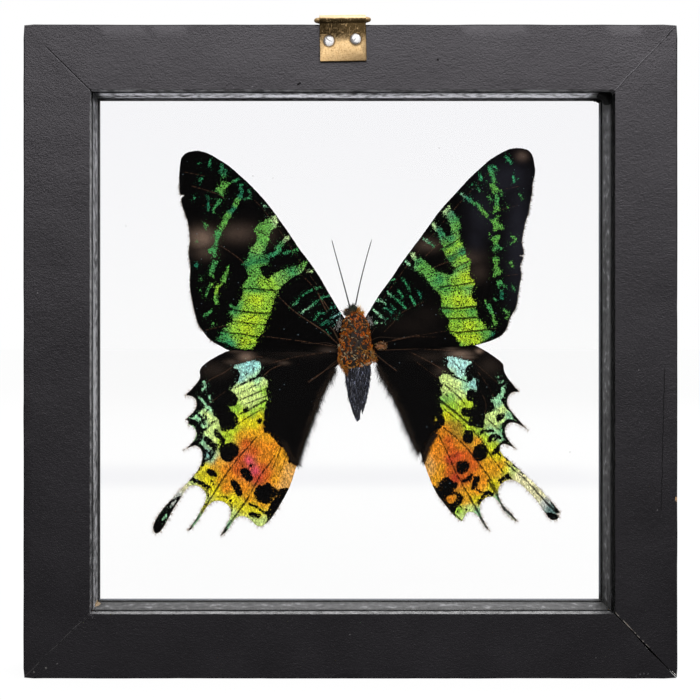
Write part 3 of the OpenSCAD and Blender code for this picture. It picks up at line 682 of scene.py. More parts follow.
RIGHT_HINDWING = {
    "areas": [
        [(439, 378), (442, 375), (446, 373), (450, 375), (455, 378), (461, 380), (467, 382), (470, 383.5),
         (471, 388), (469, 390), (467, 392), (466.5, 396), (468, 400.5), (472, 401), (473.5, 403), (473, 406),
         (471, 408), (466, 407.5), (462, 409), (461, 413), (463, 416), (469, 417.5), (469, 421), (468.5, 425),
         (473, 426.5), (480, 428), (484.5, 427), (484, 422), (484.5, 418), (486, 414), (490, 412.5), (494, 411),
         (494, 405), (490, 400), (493, 399), (496, 396.5), (500, 393), (502.5, 390), (503, 386), (505, 392),
         (502.5, 398), (502, 402), (505, 407), (508.5, 411), (511, 414), (512.5, 417.5), (516, 421), (512, 421),
         (508.5, 418.5), (505, 420.5), (501.5, 424), (501, 428), (503, 431), (506, 436), (509, 441), (503, 440),
         (499, 444), (499, 447), (503, 452), (509, 452), (540, 470), (575, 505), (575, 535), (500, 545), (452, 528),
         (430, 500), (414, 470), (414, 460), (424, 458), (427, 449), (431, 440.5), (435, 434), (441, 428),
         (444.5, 424), (445, 420), (443, 416), (443, 411), (441, 407), (441, 402), (440, 398), (442, 393),
         (440, 388), (443, 386), (441, 383)],
        [(446, 358), (450, 356.5), (458, 358), (464, 359.5), (470, 361), (471.5, 363), (467.5, 366), (466, 369.5),
         (465.5, 374), (467, 378), (467, 381), (462, 379), (456, 376), (452, 372), (449, 369), (447, 365),
         (449, 362)],
        [(468, 382), (471, 381), (474, 378.5), (475.5, 380), (476, 385), (477, 388), (475, 391), (472, 389),
         (470, 389)],
    ],
    "dots": [
        (502, 389, 1.4), (436, 420, 1), (498.5, 377, 1.1), (502.5, 381.5, 1.2), (504.5, 386, 1), (499, 383, 0.9),
    ],
    "lines": [
        (1.4, [(444, 428), (452, 434), (466, 447), (478, 462), (486, 473)]),
        (1.4, [(486, 473), (491, 480), (497, 492)]), (1.4, [(438, 433), (447, 452), (457, 475), (470, 497)]),
        (1.3, [(471, 428), (482, 441), (491, 456), (503, 472)]), (2.4, [(441, 401), (455, 412), (470, 425)]),
        (1.4, [(445, 385), (460, 398), (465, 405)]), (1, [(443, 408), (455, 418), (466, 428)]),
        (2.6, [(488, 480), (497, 495), (503, 507)]), (3.6, [(503, 507), (510, 513), (519, 522)]),
        (2.1, [(470, 498), (476, 508), (481, 518)]), (2.8, [(481, 518), (485, 524), (491, 533)]),
        (1.4, [(456, 515), (461, 520)]), (1.4, [(505, 462), (515, 471), (525, 479), (535, 490)]),
        (1.8, [(535, 490), (545, 501), (555, 511)]), (0.7, [(447, 383), (458, 390), (467, 396)]),
        (0.8, [(443, 392), (455, 402), (462, 407)]), (0.7, [(481, 431), (489, 437), (497, 446)]),
        (1.3, [(486, 418), (493, 424), (500, 430)]), (0.8, [(452, 360), (459, 368), (466, 376)]),
    ],
    "dark": [
        (3.4, [(463, 481), (467, 480), (470, 477)]), (2.4, [(470, 480), (472, 474.5)]),
        (4.2, [(482, 497), (487, 493), (492, 494)]), (3, [(478, 503), (481, 499)]),
        (3, [(481, 432), (486, 430.5), (492, 431)]), (2, [(480, 435), (482, 431)]),
        (4, [(489, 441), (491, 437), (496, 435.5), (500, 438)]), (2.6, [(495, 440), (497, 436)]),
        (2, [(505, 457), (508, 460)]), (3, [(514, 464.5), (519, 467.5)]), (2, [(521.5, 472), (523, 474)]),
        (1.8, [(499, 482), (504, 484), (500, 490)]), (2, [(476, 489), (490, 497)]), (1.8, [(478, 503), (482, 500)]),
        (1.5, [(496, 452), (502, 456)]), (4, [(507, 397), (510, 405), (516, 413), (524, 424), (529, 431)]),
        (4.4, [(528, 431), (517, 424), (510, 421), (505, 425), (504, 431)]),
        (4, [(504, 431), (506, 438), (511, 443), (517, 449)]), (3, [(515, 448), (508, 445), (503, 446), (501, 450)]),
    ],
    "dark_areas": [
        [(463, 433), (466, 430), (471, 430.5), (474, 434), (473.5, 439), (471, 443.5), (466, 443), (463, 439)],
        [(475, 447), (478, 444.5), (483, 444), (486.5, 448), (488, 453), (486, 458), (481, 461), (476, 460),
         (473, 456), (473, 451)],
        [(456, 465), (459, 461.5), (465, 460.5), (469, 464), (469, 468.5), (466, 472), (461, 473.5), (457, 471)],
        [(471, 489), (472, 483), (475, 477), (478, 475.5), (480, 479), (478, 485), (474, 489)],
        [(439, 483), (443, 478.5), (447, 476.5), (452, 481), (457, 483), (456, 488), (454, 491), (459, 493),
         (463, 497), (461, 503), (457, 508), (455, 515), (458, 524), (448, 515), (436, 500), (426, 482), (437, 488)],
        [(497.5, 480.5), (501, 478), (505, 475), (509, 473.5), (510, 478), (506, 479), (501, 482)],
        [(497, 415.5), (501, 414), (504.5, 413.5), (504, 418), (500, 421), (497, 421.5), (496, 418)],
        [(500, 444), (501, 449), (496, 454), (491, 455), (493, 451), (497, 446)],
        [(548, 497), (560, 505), (566, 522), (545, 524), (541, 514), (549, 512), (556, 513)],
    ],
    "patches": [
        [(446, 499), (449, 495.5), (454, 494.5), (456.5, 497), (455, 501), (450, 503.5)],
    ],
    "freckles": [
        (511, 478, 1.4), (461, 507, 1.1), (466, 509, 1), (458, 511, 0.9), (470, 418, 1), (448, 448, 0.6),
    ],
    "veins": [
        (0.8, [(452, 350), (466, 357), (476, 364), (500, 385)]), (1.1, [(478, 347), (492, 354), (503, 365)]),
        (0.9, [(410, 352), (430, 362), (446, 372)]), (1, [(372, 351), (384, 361), (397, 371)]),
        (0.7, [(414, 360), (438, 378)]), (0.7, [(478, 372), (488, 386), (494, 398)]),
        (0.6, [(480, 390), (486, 404), (484, 416)]), (0.9, [(382, 350), (420, 349), (456, 351)]),
    ],
    "brown": [
        (460, 354, 12, 3.5, 1), (479, 351, 4, 2.5, 1), (430, 357, 18, 5, 0.08), (490, 366, 12, 9, 0.1),
        (441, 371, 7, 5, 0.2), (452, 349, 8, 2, 0.3), (466, 357, 8, 2, 0.8),
    ],
    "stations": {
        "ice": [(452, 362), (462, 365), (460, 374)],
        "cyan": [(472, 384)],
        "mint": [(465, 380), (466, 388), (498, 403), (498, 396), (492, 431), (502, 436), (508, 416), (498, 497),
            (478, 512), (503, 385)],
        "hay": [(444, 379), (450, 378), (458, 384), (450, 388), (461, 394), (444, 390), (502, 410), (490, 418),
            (496, 425), (500, 418), (512, 470), (470, 508), (462, 517)],
        "grass": [(450, 397), (444, 400)],
        "acid": [(464, 403), (470, 404), (446, 408), (455, 416), (464, 421), (470, 428), (486, 438), (494, 447)],
        "lime": [(452, 406), (480, 434), (459, 510)],
        "yellow": [(448, 416), (506, 470), (493, 484), (480, 498), (474, 500), (494, 490), (490, 452), (497, 456)],
        "ochre": [(450, 423), (459, 425), (456, 432)],
        "orange": [(446, 429), (440, 436), (434, 446), (440, 450), (460, 446), (436, 458), (480, 474), (484, 482),
            (478, 492), (478, 440), (451, 499)],
        "ember": [(448, 440), (452, 450), (464, 456), (448, 470), (466, 478), (474, 467), (472, 460)],
        "red": [(458, 455), (450, 460), (455, 478)],
        "gold": [(442, 468), (436, 478), (486, 470), (494, 470), (490, 462), (500, 466), (470, 492), (468, 500),
            (462, 500)],
        "tan": [(430, 462), (428, 472)],
        "cream": [(520, 476), (530, 482), (528, 492), (538, 496)],
        "mist": [(545, 503), (506, 508), (486, 522)],
        "dusk": [(550, 508)],
        "sea": [(502, 428)],
    },
}


# ---------------------------------------------------------------- meshes


def add_piece(name, points, faces, finish):
    """A new smooth piece of the case, in metres where it belongs."""
    mesh = bpy.data.meshes.new(name)
    mesh.from_pydata([tuple(p) for p in points], [], faces)
    mesh.update()
    piece = bpy.data.objects.new(name, mesh)
    bpy.context.scene.collection.objects.link(piece)
    mesh.materials.append(finish)
    mesh.polygons.foreach_set("use_smooth", [True] * len(mesh.polygons))
    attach(piece, "case")
    return piece


def only(piece):
    """Selects one piece, and nothing else."""
    bpy.ops.object.select_all(action="DESELECT")
    piece.select_set(True)
    bpy.context.view_layer.objects.active = piece


@contextmanager
def editing(piece):
    """Edit mode on one piece, with all of it selected."""
    only(piece)
    bpy.ops.object.mode_set(mode="EDIT")
    bpy.ops.mesh.select_all(action="SELECT")
    yield
    bpy.ops.object.mode_set(mode="OBJECT")


def apply(piece, kind, **settings):
    """Adds a modifier to a piece and applies it."""
    only(piece)
    modifier = piece.modifiers.new(kind.lower(), kind)
    for name, value in settings.items():
        setattr(modifier, name, value)
    bpy.ops.object.modifier_apply(modifier=modifier.name)


def ease(piece, width, angle):
    """Rounds the edges that are sharper than an angle."""
    apply(piece, "BEVEL", width=width * MM, segments=2, limit_method="ANGLE", angle_limit=math.radians(angle))


def smooth(piece, angle):
    only(piece)
    bpy.ops.object.shade_smooth_by_angle(angle=math.radians(angle))


def note(piece, name, values, colour=False):
    """Stores one value for each point of a piece, for its finish to read."""
    kind, key = ("FLOAT_COLOR", "color") if colour else ("FLOAT", "value")
    layer = piece.data.attributes.new(name, kind, "POINT")
    layer.data.foreach_set(key, np.ascontiguousarray(values, np.float32).ravel())


def note_tones(piece, colours):
    note(piece, "tone", np.column_stack([colours, np.ones(len(colours))]), colour=True)


def outline(node):
    """The edge of the front of a flat CAD node, in order, as (x, z) in millimetres."""
    shape = bmesh.new()
    shape.from_mesh(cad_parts[node].data)
    bmesh.ops.remove_doubles(shape, verts=shape.verts, dist=0.001 * MM)
    front = {face for face in shape.faces if face.normal.y < -0.9}
    beside = {}
    for edge in shape.edges:
        if sum(face in front for face in edge.link_faces) == 1:
            a, b = edge.verts
            beside.setdefault(a, []).append(b)
            beside.setdefault(b, []).append(a)
    start = next(iter(beside))
    loop, last, here = [start], start, beside[start][0]
    while here is not start:
        loop.append(here)
        last, here = here, next(corner for corner in beside[here] if corner is not last)
    rim = np.array([(v.co.x, v.co.z) for v in loop]) / MM
    shape.free()
    return rim


GRAIN = 0.27          # spacing of the wings' mesh points, in millimetres
MEMBRANE = 0.09       # thickness of a wing, in millimetres


def camber(spots):
    """How far back the wings bow from flat, in millimetres."""
    out = np.abs(spots[:, 0] - BODY_X)
    return 0.34 * np.sin(out / 11) * np.cos((spots[:, 1] - ROOTS_Z) / 26)


def outer_margin(spots, node):
    """1 beside the wing's ragged outer margin and 0 beside its other edges."""
    out = np.abs(spots[:, 0] - BODY_X)
    down = ROOTS_Z - spots[:, 1]
    if "fore" in node:
        return np.clip((out - 33) / 3, 0, 1) * np.clip((down + 41) / 3, 0, 1)
    return np.clip((down - 7) / 3, 0, 1) * np.clip((out + down * 0.35 - 30.5) / 2, 0, 1)


def upright(spots, depth):
    """Points from their (x, z) on the wings' plane and their depths."""
    return np.column_stack([spots[:, 0], depth, spots[:, 1]])


def middle_of(node):
    """How deep the middle of a node lies, in millimetres."""
    low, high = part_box(node)
    return (low[1] + high[1]) / 2 / MM


def wing_mesh(rim, rng):
    """Spots over a wing and along its slightly ragged rim, and the triangles between them."""
    edge = []
    for start, step in zip(rim, np.roll(rim, -1, 0) - rim):
        parts = max(1, round(np.hypot(*step) / GRAIN))
        edge.append(start + step * np.arange(parts)[:, None] / parts)
    edge = np.vstack(edge)
    low, high = rim.min(0), rim.max(0)
    columns = np.arange(low[0], high[0], GRAIN)
    rows = np.arange(low[1], high[1], GRAIN * 0.866)
    grid = np.array([(x + (GRAIN / 2 if j % 2 else 0), z) for j, z in enumerate(rows) for x in columns])
    grid += rng.uniform(-0.2, 0.2, grid.shape) * GRAIN
    grid = grid[inside(grid, rim)]
    grid = grid[from_line(grid, rim, True) > GRAIN * 0.55]
    edge = edge + rng.uniform(-0.25, 0.25, edge.shape) * GRAIN * 0.5
    loop = [(i, (i + 1) % len(edge)) for i in range(len(edge))]
    points, _, faces, *_ = delaunay_2d_cdt([Vector(p) for p in np.vstack([edge, grid])], loop, [], 1, 1e-6)
    spots = np.array([tuple(p) for p in points])
    facing = []
    for a, b, c in faces:
        turned = np.cross(spots[b] - spots[a], spots[c] - spots[a])
        facing.append((a, b, c) if turned > 0 else (a, c, b))
    return spots, facing


def clouds(spots, blobs):
    """Soft patches on a wing: pixel across, pixel down, width, height and amount of each."""
    total = np.zeros(len(spots))
    for px, py, wide, high, amount in blobs:
        off = (spots - on_moth([(px, py)])[0]) / (np.array([wide, high]) * PIXEL)
        total = np.maximum(total, amount * np.exp(-1.2 * (off ** 2).sum(1)))
    return total


def make_wing(node, marks, finish, seed):
    """A thin bowed sheet with raised veins, which carries its marks for its finish to read."""
    rim = outline(node)
    spots, faces = wing_mesh(rim, np.random.default_rng(seed))

    def drawn(areas, strokes, dots=None, least=0.0):
        return deep_in(spots, *(marks.get(name, ()) for name in (areas, strokes, dots)), least)

    mark = np.minimum(drawn("areas", "strokes", "dots", NARROWEST), -drawn("dark_areas", "dark", "freckles"))
    if "patches" in marks:
        mark = np.maximum(mark, drawn("patches", None))
    line, vein, shaded = (drawn(None, name) for name in ("lines", "veins", "shades"))
    ridge = 0.05 * np.exp(-((np.minimum(vein, 0) / 0.22) ** 2)) + 0.03 * np.exp(-((np.minimum(line, 0) / 0.2) ** 2))
    ripple = np.array([noise.noise(Vector((x / 3.1, z / 3.1, seed))) for x, z in spots]) * 0.05
    depth = middle_of(node) + camber(spots) - ridge + ripple - MEMBRANE / 2
    piece = add_piece(node + "_scales", upright(spots, depth) * MM, faces, finish)
    for name, values in (
        ("mark", mark), ("line", line), ("vein", vein), ("shaded", shaded), ("rim", from_line(spots, rim, True)),
        ("brown", clouds(spots, marks["brown"])), ("cool", clouds(spots, marks.get("cool", ()))),
        ("pale", outer_margin(spots, node)),
    ):
        note(piece, name, values)
    note_tones(piece, blended(spots, marks["stations"], SCALES))
    apply(piece, "SOLIDIFY", thickness=MEMBRANE * MM, offset=-1)
    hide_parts(node)


# ---------------------------------------------------------------- finishes of the moth


def wing_finish(name, turn, stretch, thinness, scatter):
    """Scales of colour on black, with speckled edges, dark cross lines and thin brown veins."""
    f = Finish(name)
    mark, line, vein, rim = f.level("mark"), f.level("line"), f.level("vein"), f.level("rim")
    grain, gap, tint, _ = f.cells(0.22, (1, 1, stretch), (0, turn, 0))
    fine, light, _, _ = f.cells(0.16)
    patchy = f.noise(1.0, 3)
    streaks = f.noise(0.5, 3, (1, 1, 0.25), (0, turn, 0))
    edge = mark - 0.03 + (grain - 0.5) * 0.34 + (patchy - 0.5) * 0.3 + (streaks - 0.5) * 0.3
    coloured = edge.fade(-0.04, 0.04)
    thin = 1 - mark.fade(0.0, 0.6)
    missing = (gap + (patchy - 0.5) * 0.6 + thin * 0.2).fade(0.72, 0.8) * thinness
    missing = missing.most(fine.fade(0.84, 0.9) * 0.7)
    stray = light.fade(0.965, 0.985) * mark.fade(-1.3, -0.1) * 0.6
    crossing = (line + (grain - 0.5) * 0.2 + (patchy - 0.5) * 0.16).fade(-0.12, 0.08) * 0.92
    coloured = (coloured * (1 - missing) * (1 - crossing)).most(stray)
    bright = 1.0 + scatter * (tint - 0.5) + 0.35 * (patchy - 0.5)
    shade = f.node("ShaderNodeCombineColor", {}, {0: bright, 1: bright, 2: bright}).outputs[0]
    lit = f.mix(1.0, f.colour("tone"), shade, "MULTIPLY")
    band = (f.level("shaded") + (grain - 0.5) * 0.5 + (patchy - 0.5) * 0.5).fade(-0.1, 0.35)
    cooler = (band * 0.85).most(gap.fade(0.35, 0.5) * 0.35 * thinness)
    lit = f.mix(cooler, lit, f.mix(1.0, lit, (0.34, 0.6, 0.8, 1), "MULTIPLY"))
    ground = f.mix(fine * 0.7 + patchy * 0.3, tone(0, 0, 0), tone(7, 6, 6))
    ground = f.mix(f.level("cool") * (0.5 + 0.5 * patchy), ground, tone(31, 31, 38))
    # Soft brown patches on the black ground: partly brown scales, partly painted sheen and reflection.
    dull = f.level("brown") * (0.55 + 0.5 * patchy + 0.3 * fine)
    ground = f.mix(dull.least(1), ground, tone(104, 86, 74))
    veined = (vein + (fine - 0.5) * 0.08).fade(-0.04, 0.08) * (0.3 + 0.5 * streaks)
    ground = f.mix(veined, ground, tone(92, 66, 50))
    ground = f.mix(f.specks(1.1, (0.86, 0.9), (0.08, 0.14)) * 0.8, ground, tone(92, 104, 112))
    base = f.mix(coloured, ground, lit)
    pale = 1 - (rim + (fine - 0.5) * 0.16).fade(0.0, 0.16)
    notches = (f.noise(0.45, 2) - 0.5).fade(-0.02, 0.06)
    base = f.mix(pale * f.level("pale") * (0.35 + 0.6 * notches), base, tone(214, 202, 190))
    height = coloured * 0.5 + fine * 0.35 + grain * 0.4
    return f.surface(
        Base_Color=base,
        Roughness=0.7 - 0.2 * coloured + 0.1 * fine,
        Metallic=coloured * 0.15,
        Normal=f.bump(height, 0.035, 0.5),
        Specular_IOR_Level=0.03,
    )


def hair_finish(name, rough, shine):
    """Hair that takes its colour from each piece's own tones."""
    f = Finish(name)
    streak = f.noise(0.3, 2)
    base = f.mix(0.35 * streak, f.colour("tone"), tone(10, 8, 6))
    return f.surface(Base_Color=base, Roughness=rough + 0.1 * streak, Specular_IOR_Level=shine)


def strands(name, roots, tips, bends, widths, tones, finish, steps):
    """Fine hairs from roots to tips in millimetres, each a three-sided rod that thins towards its tip."""
    roots, tips, bends = (np.asarray(v, float) for v in (roots, tips, bends))
    along = tips - roots
    along = along / (np.linalg.norm(along, axis=1, keepdims=True) + 1e-9)
    side = np.cross(along, np.array([0.13, 0.37, 0.92]))
    side /= np.linalg.norm(side, axis=1, keepdims=True) + 1e-9
    other = np.cross(along, side)
    middle = (roots + tips) / 2 + bends
    rings = []
    for t in np.arange(steps) / (steps - 1):
        core = roots * (1 - t) ** 2 + 2 * t * (1 - t) * middle + tips * t * t
        thick = widths.reshape(-1, 1) / 2 * (1 - 0.82 * t)
        for turn in (0, 2 * math.pi / 3, 4 * math.pi / 3):
            rings.append(core + thick * (math.cos(turn) * side + math.sin(turn) * other))
    points = np.stack(rings, 1).reshape(-1, 3)
    per = steps * 3
    starts = range(0, len(points), per)
    sides = [(a, b, b + 3, a + 3) for k in range(0, per - 3, 3) for a, b in ((k, k + 1), (k + 1, k + 2), (k + 2, k))]
    faces = [tuple(i + n for i in quad) for n in starts for quad in sides]
    faces += [(n + 2, n + 1, n) for n in starts]
    faces += [(n + per - 3, n + per - 2, n + per - 1) for n in starts]
    piece = add_piece(name, points, faces, finish)
    note_tones(piece, np.repeat(tones[:, :3], per, 0))


def rod(name, path, radii, finish, sides, tint):
    """A round, tapering, bent rod along a path in metres."""
    points, faces = [], []
    last = len(path) - 1
    for i, spot in enumerate(path):
        ahead = path[min(i + 1, last)] - path[max(i - 1, 0)]
        ahead /= np.linalg.norm(ahead)
        side = np.cross(ahead, (0.1, 1.0, 0.05))
        side /= np.linalg.norm(side)
        other = np.cross(side, ahead)
        for k in range(sides):
            turn = 2 * math.pi * k / sides
            points.append(spot + radii[i] * (math.cos(turn) * side + math.sin(turn) * other))
    for i in range(last):
        for k in range(sides):
            a, b = i * sides + k, i * sides + (k + 1) % sides
            faces.append((a, b, b + sides, a + sides))
    faces += [tuple(range(sides))[::-1], tuple(range(last * sides, (last + 1) * sides))]
    piece = add_piece(name, points, faces, finish)
    note(piece, "tone", np.tile(tint, (len(points), 1)), colour=True)
    return piece


# ---------------------------------------------------------------- finishes of the case

# Nicks in the paint of the rails' faces: pixel across, pixel down, radius in millimetres and colour.
NICKS = [
    (297.8, 84.7, 0.2, (2, 2, 2)), (299, 83.8, 0.26, (2, 2, 2)), (300.2, 82.8, 0.2, (3, 3, 3)),
    (438, 60, 0.28, (4, 4, 4)), (677, 499, 0.5, (150, 118, 82)), (677, 501, 0.4, (120, 96, 70)),
    (672.4, 671.6, 0.1, (190, 186, 180)), (673.3, 672.6, 0.13, (225, 222, 216)),
    (674.3, 673.7, 0.15, (235, 232, 228)), (675.2, 674.8, 0.13, (214, 210, 204)),
    (627.4, 624.2, 0.12, (104, 80, 54)), (628.2, 625.3, 0.1, (96, 74, 54)), (631.2, 629.6, 0.1, (92, 72, 56)),
    (656.3, 655.8, 0.13, (140, 104, 62)), (612.5, 610, 0.25, (74, 56, 36)),
    (636, 676, 0.2, (52, 52, 54)), (640, 674.4, 0.24, (58, 58, 60)), (644, 673.6, 0.22, (54, 54, 56)),
    (648, 674, 0.2, (52, 52, 54)), (46, 668, 0.24, (80, 78, 76)), (57, 664, 0.2, (72, 70, 70)),
    (34, 672, 0.2, (78, 76, 74)),
]
CRACK = [(664.7, 363), (661, 520)]        # both ends of the crack in the right rail's paint, in pixels
BLOB = (90.5, 617.5)                      # a blob in the paint, in pixels
# Dust on the front pane: pixel across, pixel down and radius in millimetres.
GLASS_DUST = [(253, 176, 0.16), (273, 178, 0.14), (439, 148, 0.14), (570, 452, 0.16), (126, 226, 0.14)]


def glass_finish():
    """A thin clear pane with a little dust, which mirrors more as it is seen from the side."""
    f = Finish("picture_glass")
    facing = Level(f, f.node("ShaderNodeLayerWeight").outputs["Facing"])
    mirror = 0.005 + 0.995 * facing ** 5
    dust = f.specks(3.4, (0.93, 0.95), (0.018, 0.03)) * 0.35
    for px, py, size in GLASS_DUST:
        dust = dust.most(f.near(on_plane(px, py, GLASS_Y), size * MM) * 0.7)
    clear = f.shader("BsdfTransparent", Color=(0.996, 0.996, 0.996, 1))
    # A slightly greyer, bluer tint towards the top of the pane.
    greyer_at_top = f.shader("BsdfTransparent", Color=(0.981, 0.981, 0.987, 1))
    shine = f.shader("BsdfGlossy", Color=(1, 1, 1, 1), Roughness=0.0)
    pane = f.over(mirror, f.over(f.axis(2).fade(60, 150), clear, greyer_at_top), shine)
    return f.output(f.over(dust, pane, f.shader("BsdfDiffuse", Color=tone(150, 148, 145))))


def beside_mitre(f, which):
    """How far along a mitre from its outer corner, how far to its side, in millimetres, and whether it is there."""
    outer, inner = (Vector(p) for p in MITRES[which])
    way = (inner - outer).normalized()
    x, z = f.axis(0) - outer.x, f.axis(2) - outer.y
    along = x * way.x + z * way.y
    end = (inner - outer).length
    return along, x * way.y - z * way.x, along.between(-1, -0.5, end + 0.2, end + 0.8)


def thread(off, core, rim):
    """1 on a line and 0 beside it, from how far off it each spot is."""
    return 1 - (off * off).fade(core, rim)


def worn_and_highlit_mitres(f, base, patch):
    """The paint's colour with the four mitres in it, each as worn as its own, and how far it is pitted. The pale lines
    along them are painted highlights on ridges of paint, and at the lower right partly chips.
    """
    fray = (f.noise(0.5, 3) - 0.5) * 0.3
    wander = (f.noise(2.6, 2) - 0.5) * 1.2
    bits = f.noise(1.1, 2).fade(0.42, 0.58)
    # Painted highlights: the pale lines beside the mitres stand for light on ridges of paint; at the lower right they
    # are partly chips and partly painted highlight.
    s, t, there = beside_mitre(f, "upper_left")
    t = t + fray * 0.3
    there = there * s.fade(6.5, 9)
    pit = thread(t, 0.006, 0.02) * there
    base = f.mix(thread(t - 0.16, 0.003, 0.012) * there * (0.2 + 0.45 * patch), base, tone(122, 120, 124))
    s, t, there = beside_mitre(f, "upper_right")
    t = t + fray * 0.5 + wander * 0.6
    base = f.mix(thread(t, 0.004, 0.014) * there * (0.25 + 0.5 * patch), base, tone(116, 114, 118))
    pit = pit.most(thread(t + 0.16, 0.008, 0.03) * there * (1 - s.fade(5, 9)) * bits)
    pit = pit.most(thread(t + 0.14, 0.003, 0.012) * there * 0.5)
    s, t, there = beside_mitre(f, "lower_left")
    t = t + fray * 0.4 + wander * 0.5
    pit = pit.most(thread(t, 0.004, 0.016) * there * 0.8)
    base = f.mix(thread(t + 0.17, 0.003, 0.012) * there * bits * 0.35, base, tone(86, 84, 84))
    s, t, there = beside_mitre(f, "lower_right")
    t = t + fray * 0.8
    chips = thread(t - 0.3, 0.004, 0.02) * f.noise(0.9, 3).fade(0.42, 0.62) * s.fade(8.5, 11) * there
    base = f.mix(chips * 0.8, base, tone(118, 112, 104))
    return base, pit.most(thread(t, 0.008, 0.035) * there)


def long_crack(f):
    """The crack down the right rail, from its upper end to its lower one."""
    top, low = ([value / MM for value in place] for place in at_depth(CRACK, FACE_Y))
    lean = (top[0] - low[0]) / (top[1] - low[1])
    z = f.axis(2)
    off = f.axis(0) - lean * z - (top[0] - lean * top[1]) + (f.noise(2.2, 2) - 0.5) * 0.5
    return thread(off, 0.002, 0.012) * z.between(low[1], low[1] + 3, top[1] - 3, top[1])


def in_opening(f):
    """1 in the sight opening and up to its edge, and 0 on the rails' faces."""
    def within(axis, low, high):
        off, half = f.axis(axis) - (low + high) / 2, (high - low) / 2 + 0.3
        return 1 - (off * off).fade(half ** 2 - 9, half ** 2)
    return within(0, SIGHT_LEFT, SIGHT_RIGHT) * within(2, SIGHT_LOW, SIGHT_TOP)


def paint_finish(name, along):
    """Black satin paint with the fine ripple of many coats, dust in it, and wear at joints and edges, with painted
    highlights along the mitres and in patches on the lip's inner faces.
    """
    f = Finish(name)
    run = [1, 1, 1]
    run[along] = 0.5
    ripple, brushed = f.noise(0.3, 2, (0.75, 1, 1)), f.noise(0.5, 2, run)
    swell, cloud = f.noise(1.6, 2), f.noise(14, 2)
    lumps = f.specks(2.2, (0.8, 0.9), (0.03, 0.12))
    base = f.mix(cloud, tone(10, 9, 11), tone(18, 17, 20))

    patch = f.noise(1.6, 3, (1, 0.4, 1))
    # Painted highlight: pale patches on the lip's inner faces round the opening, except on the right.
    not_right = 1 - f.axis(0).fade(SIGHT_RIGHT - 1, SIGHT_RIGHT - 0.3)
    lip_highlight = f.axis(1).fade(-11.2, -10.8) * in_opening(f).fade(0, 0.02) * not_right
    base = f.mix(lip_highlight * patch.fade(0.3, 0.75), base, tone(150, 149, 152))
    base, pit = worn_and_highlit_mitres(f, base, patch)

    ragged = (f.noise(0.35, 3) - 0.5) * 0.7 * MM
    for px, py, size, worn in NICKS:
        spot = f.near(on_plane(px, py, FACE_Y), size * MM, ragged)
        base = f.mix(spot, base, tone(*worn))
        if max(worn) < 10:
            pit = pit.most(spot)
    base = f.mix(f.specks(4.5, (0.62, 0.66), (0.014, 0.034)) * 0.8, base, tone(120, 118, 118))
    if along == 2:
        pit = pit.most(long_crack(f))
    base = f.mix(pit, base, tone(1, 1, 1))
    blob = f.near(on_plane(*BLOB, FACE_Y), 0.7 * MM, ragged * 1.4)
    height = ripple * 0.75 + brushed * 0.4 + swell * 0.5 + lumps * 0.25 - pit * 1.6 + blob * 1.2
    return f.surface(
        Base_Color=base,
        Roughness=(0.27 + 0.1 * brushed + 0.1 * cloud + pit * 0.6).least(1),
        Normal=f.bump(height, 0.078, 0.74),
        Specular_IOR_Level=0.5,
        Specular_Tint=(0.985, 0.93, 1.0, 1),
    )


def liner_finish(name, along, light, pale_rim):
    """Thin dark paint on planed wood strips: the grain shows through in lighter streaks. The light factor makes each
    strip lighter or darker as painted light, and each is darker towards the panes as painted shade.
    """
    f = Finish(name)
    run = [1, 0.25, 1]
    run[along] = 0.45
    mottle = f.noise(0.8, 4, run)
    run[along] = 0.05
    grain = f.noise(1.4, 4, run)
    # Painted light: the light factor makes a whole strip lighter or darker for how it is lit.
    dark, pale = (tone(*(light * part for part in colour)) for colour in ((26, 25, 27), (128, 128, 131)))
    base = f.mix((grain * 0.7 + mottle * 0.9 - 0.3).fade(0.25, 0.75), dark, pale)
    base = f.mix(mottle.fade(0.56, 0.72) * 0.6, base, tone(186, 186, 190))
    x, depth, z = (f.axis(which) for which in range(3))
    # Painted shade: darker towards the front and back of each strip, where it meets the panes.
    ends = ((depth - 0.5) * (depth - 0.5) + (mottle - 0.5) * 14).fade(14, 26)
    base = f.mix(ends * 0.9, base, tone(9, 9, 10))
    base = f.mix(depth.between(9.2, 9.8, 10.9, 11.3) * pale_rim, base, tone(112, 118, 130))
    base = f.mix(f.specks(3.1, (0.8, 0.86), (0.03, 0.07)) * 0.7, base, tone(188, 184, 178))
    for edge_x, edge_z, near, far in (
        (SIGHT_LEFT, SIGHT_TOP, 1.2, 5), (SIGHT_RIGHT, SIGHT_TOP, 7, 22), (SIGHT_RIGHT, SIGHT_LOW, 1.2, 5)
    ):
        dx, dz = x - edge_x, z - edge_z
        base = f.mix((1 - (dx * dx + dz * dz + mottle * 2).fade(near, far)) * 0.9, base, tone(4, 4, 5))
    dx, dy, dz = x - SIGHT_LEFT, depth - 3, z - SIGHT_LOW
    bare = 1 - (dx * dx + dz * dz + dy * dy * 0.06 + (mottle - 0.5) * 1.4).fade(0.5, 0.8)
    base = f.mix(bare, base, tone(176, 152, 118))
    return f.surface(
        Base_Color=base,
        Roughness=0.5 + 0.25 * grain,
        Normal=f.bump(grain + 0.8 * mottle, 0.2, 0.7),
        Specular_IOR_Level=0.4,
    )


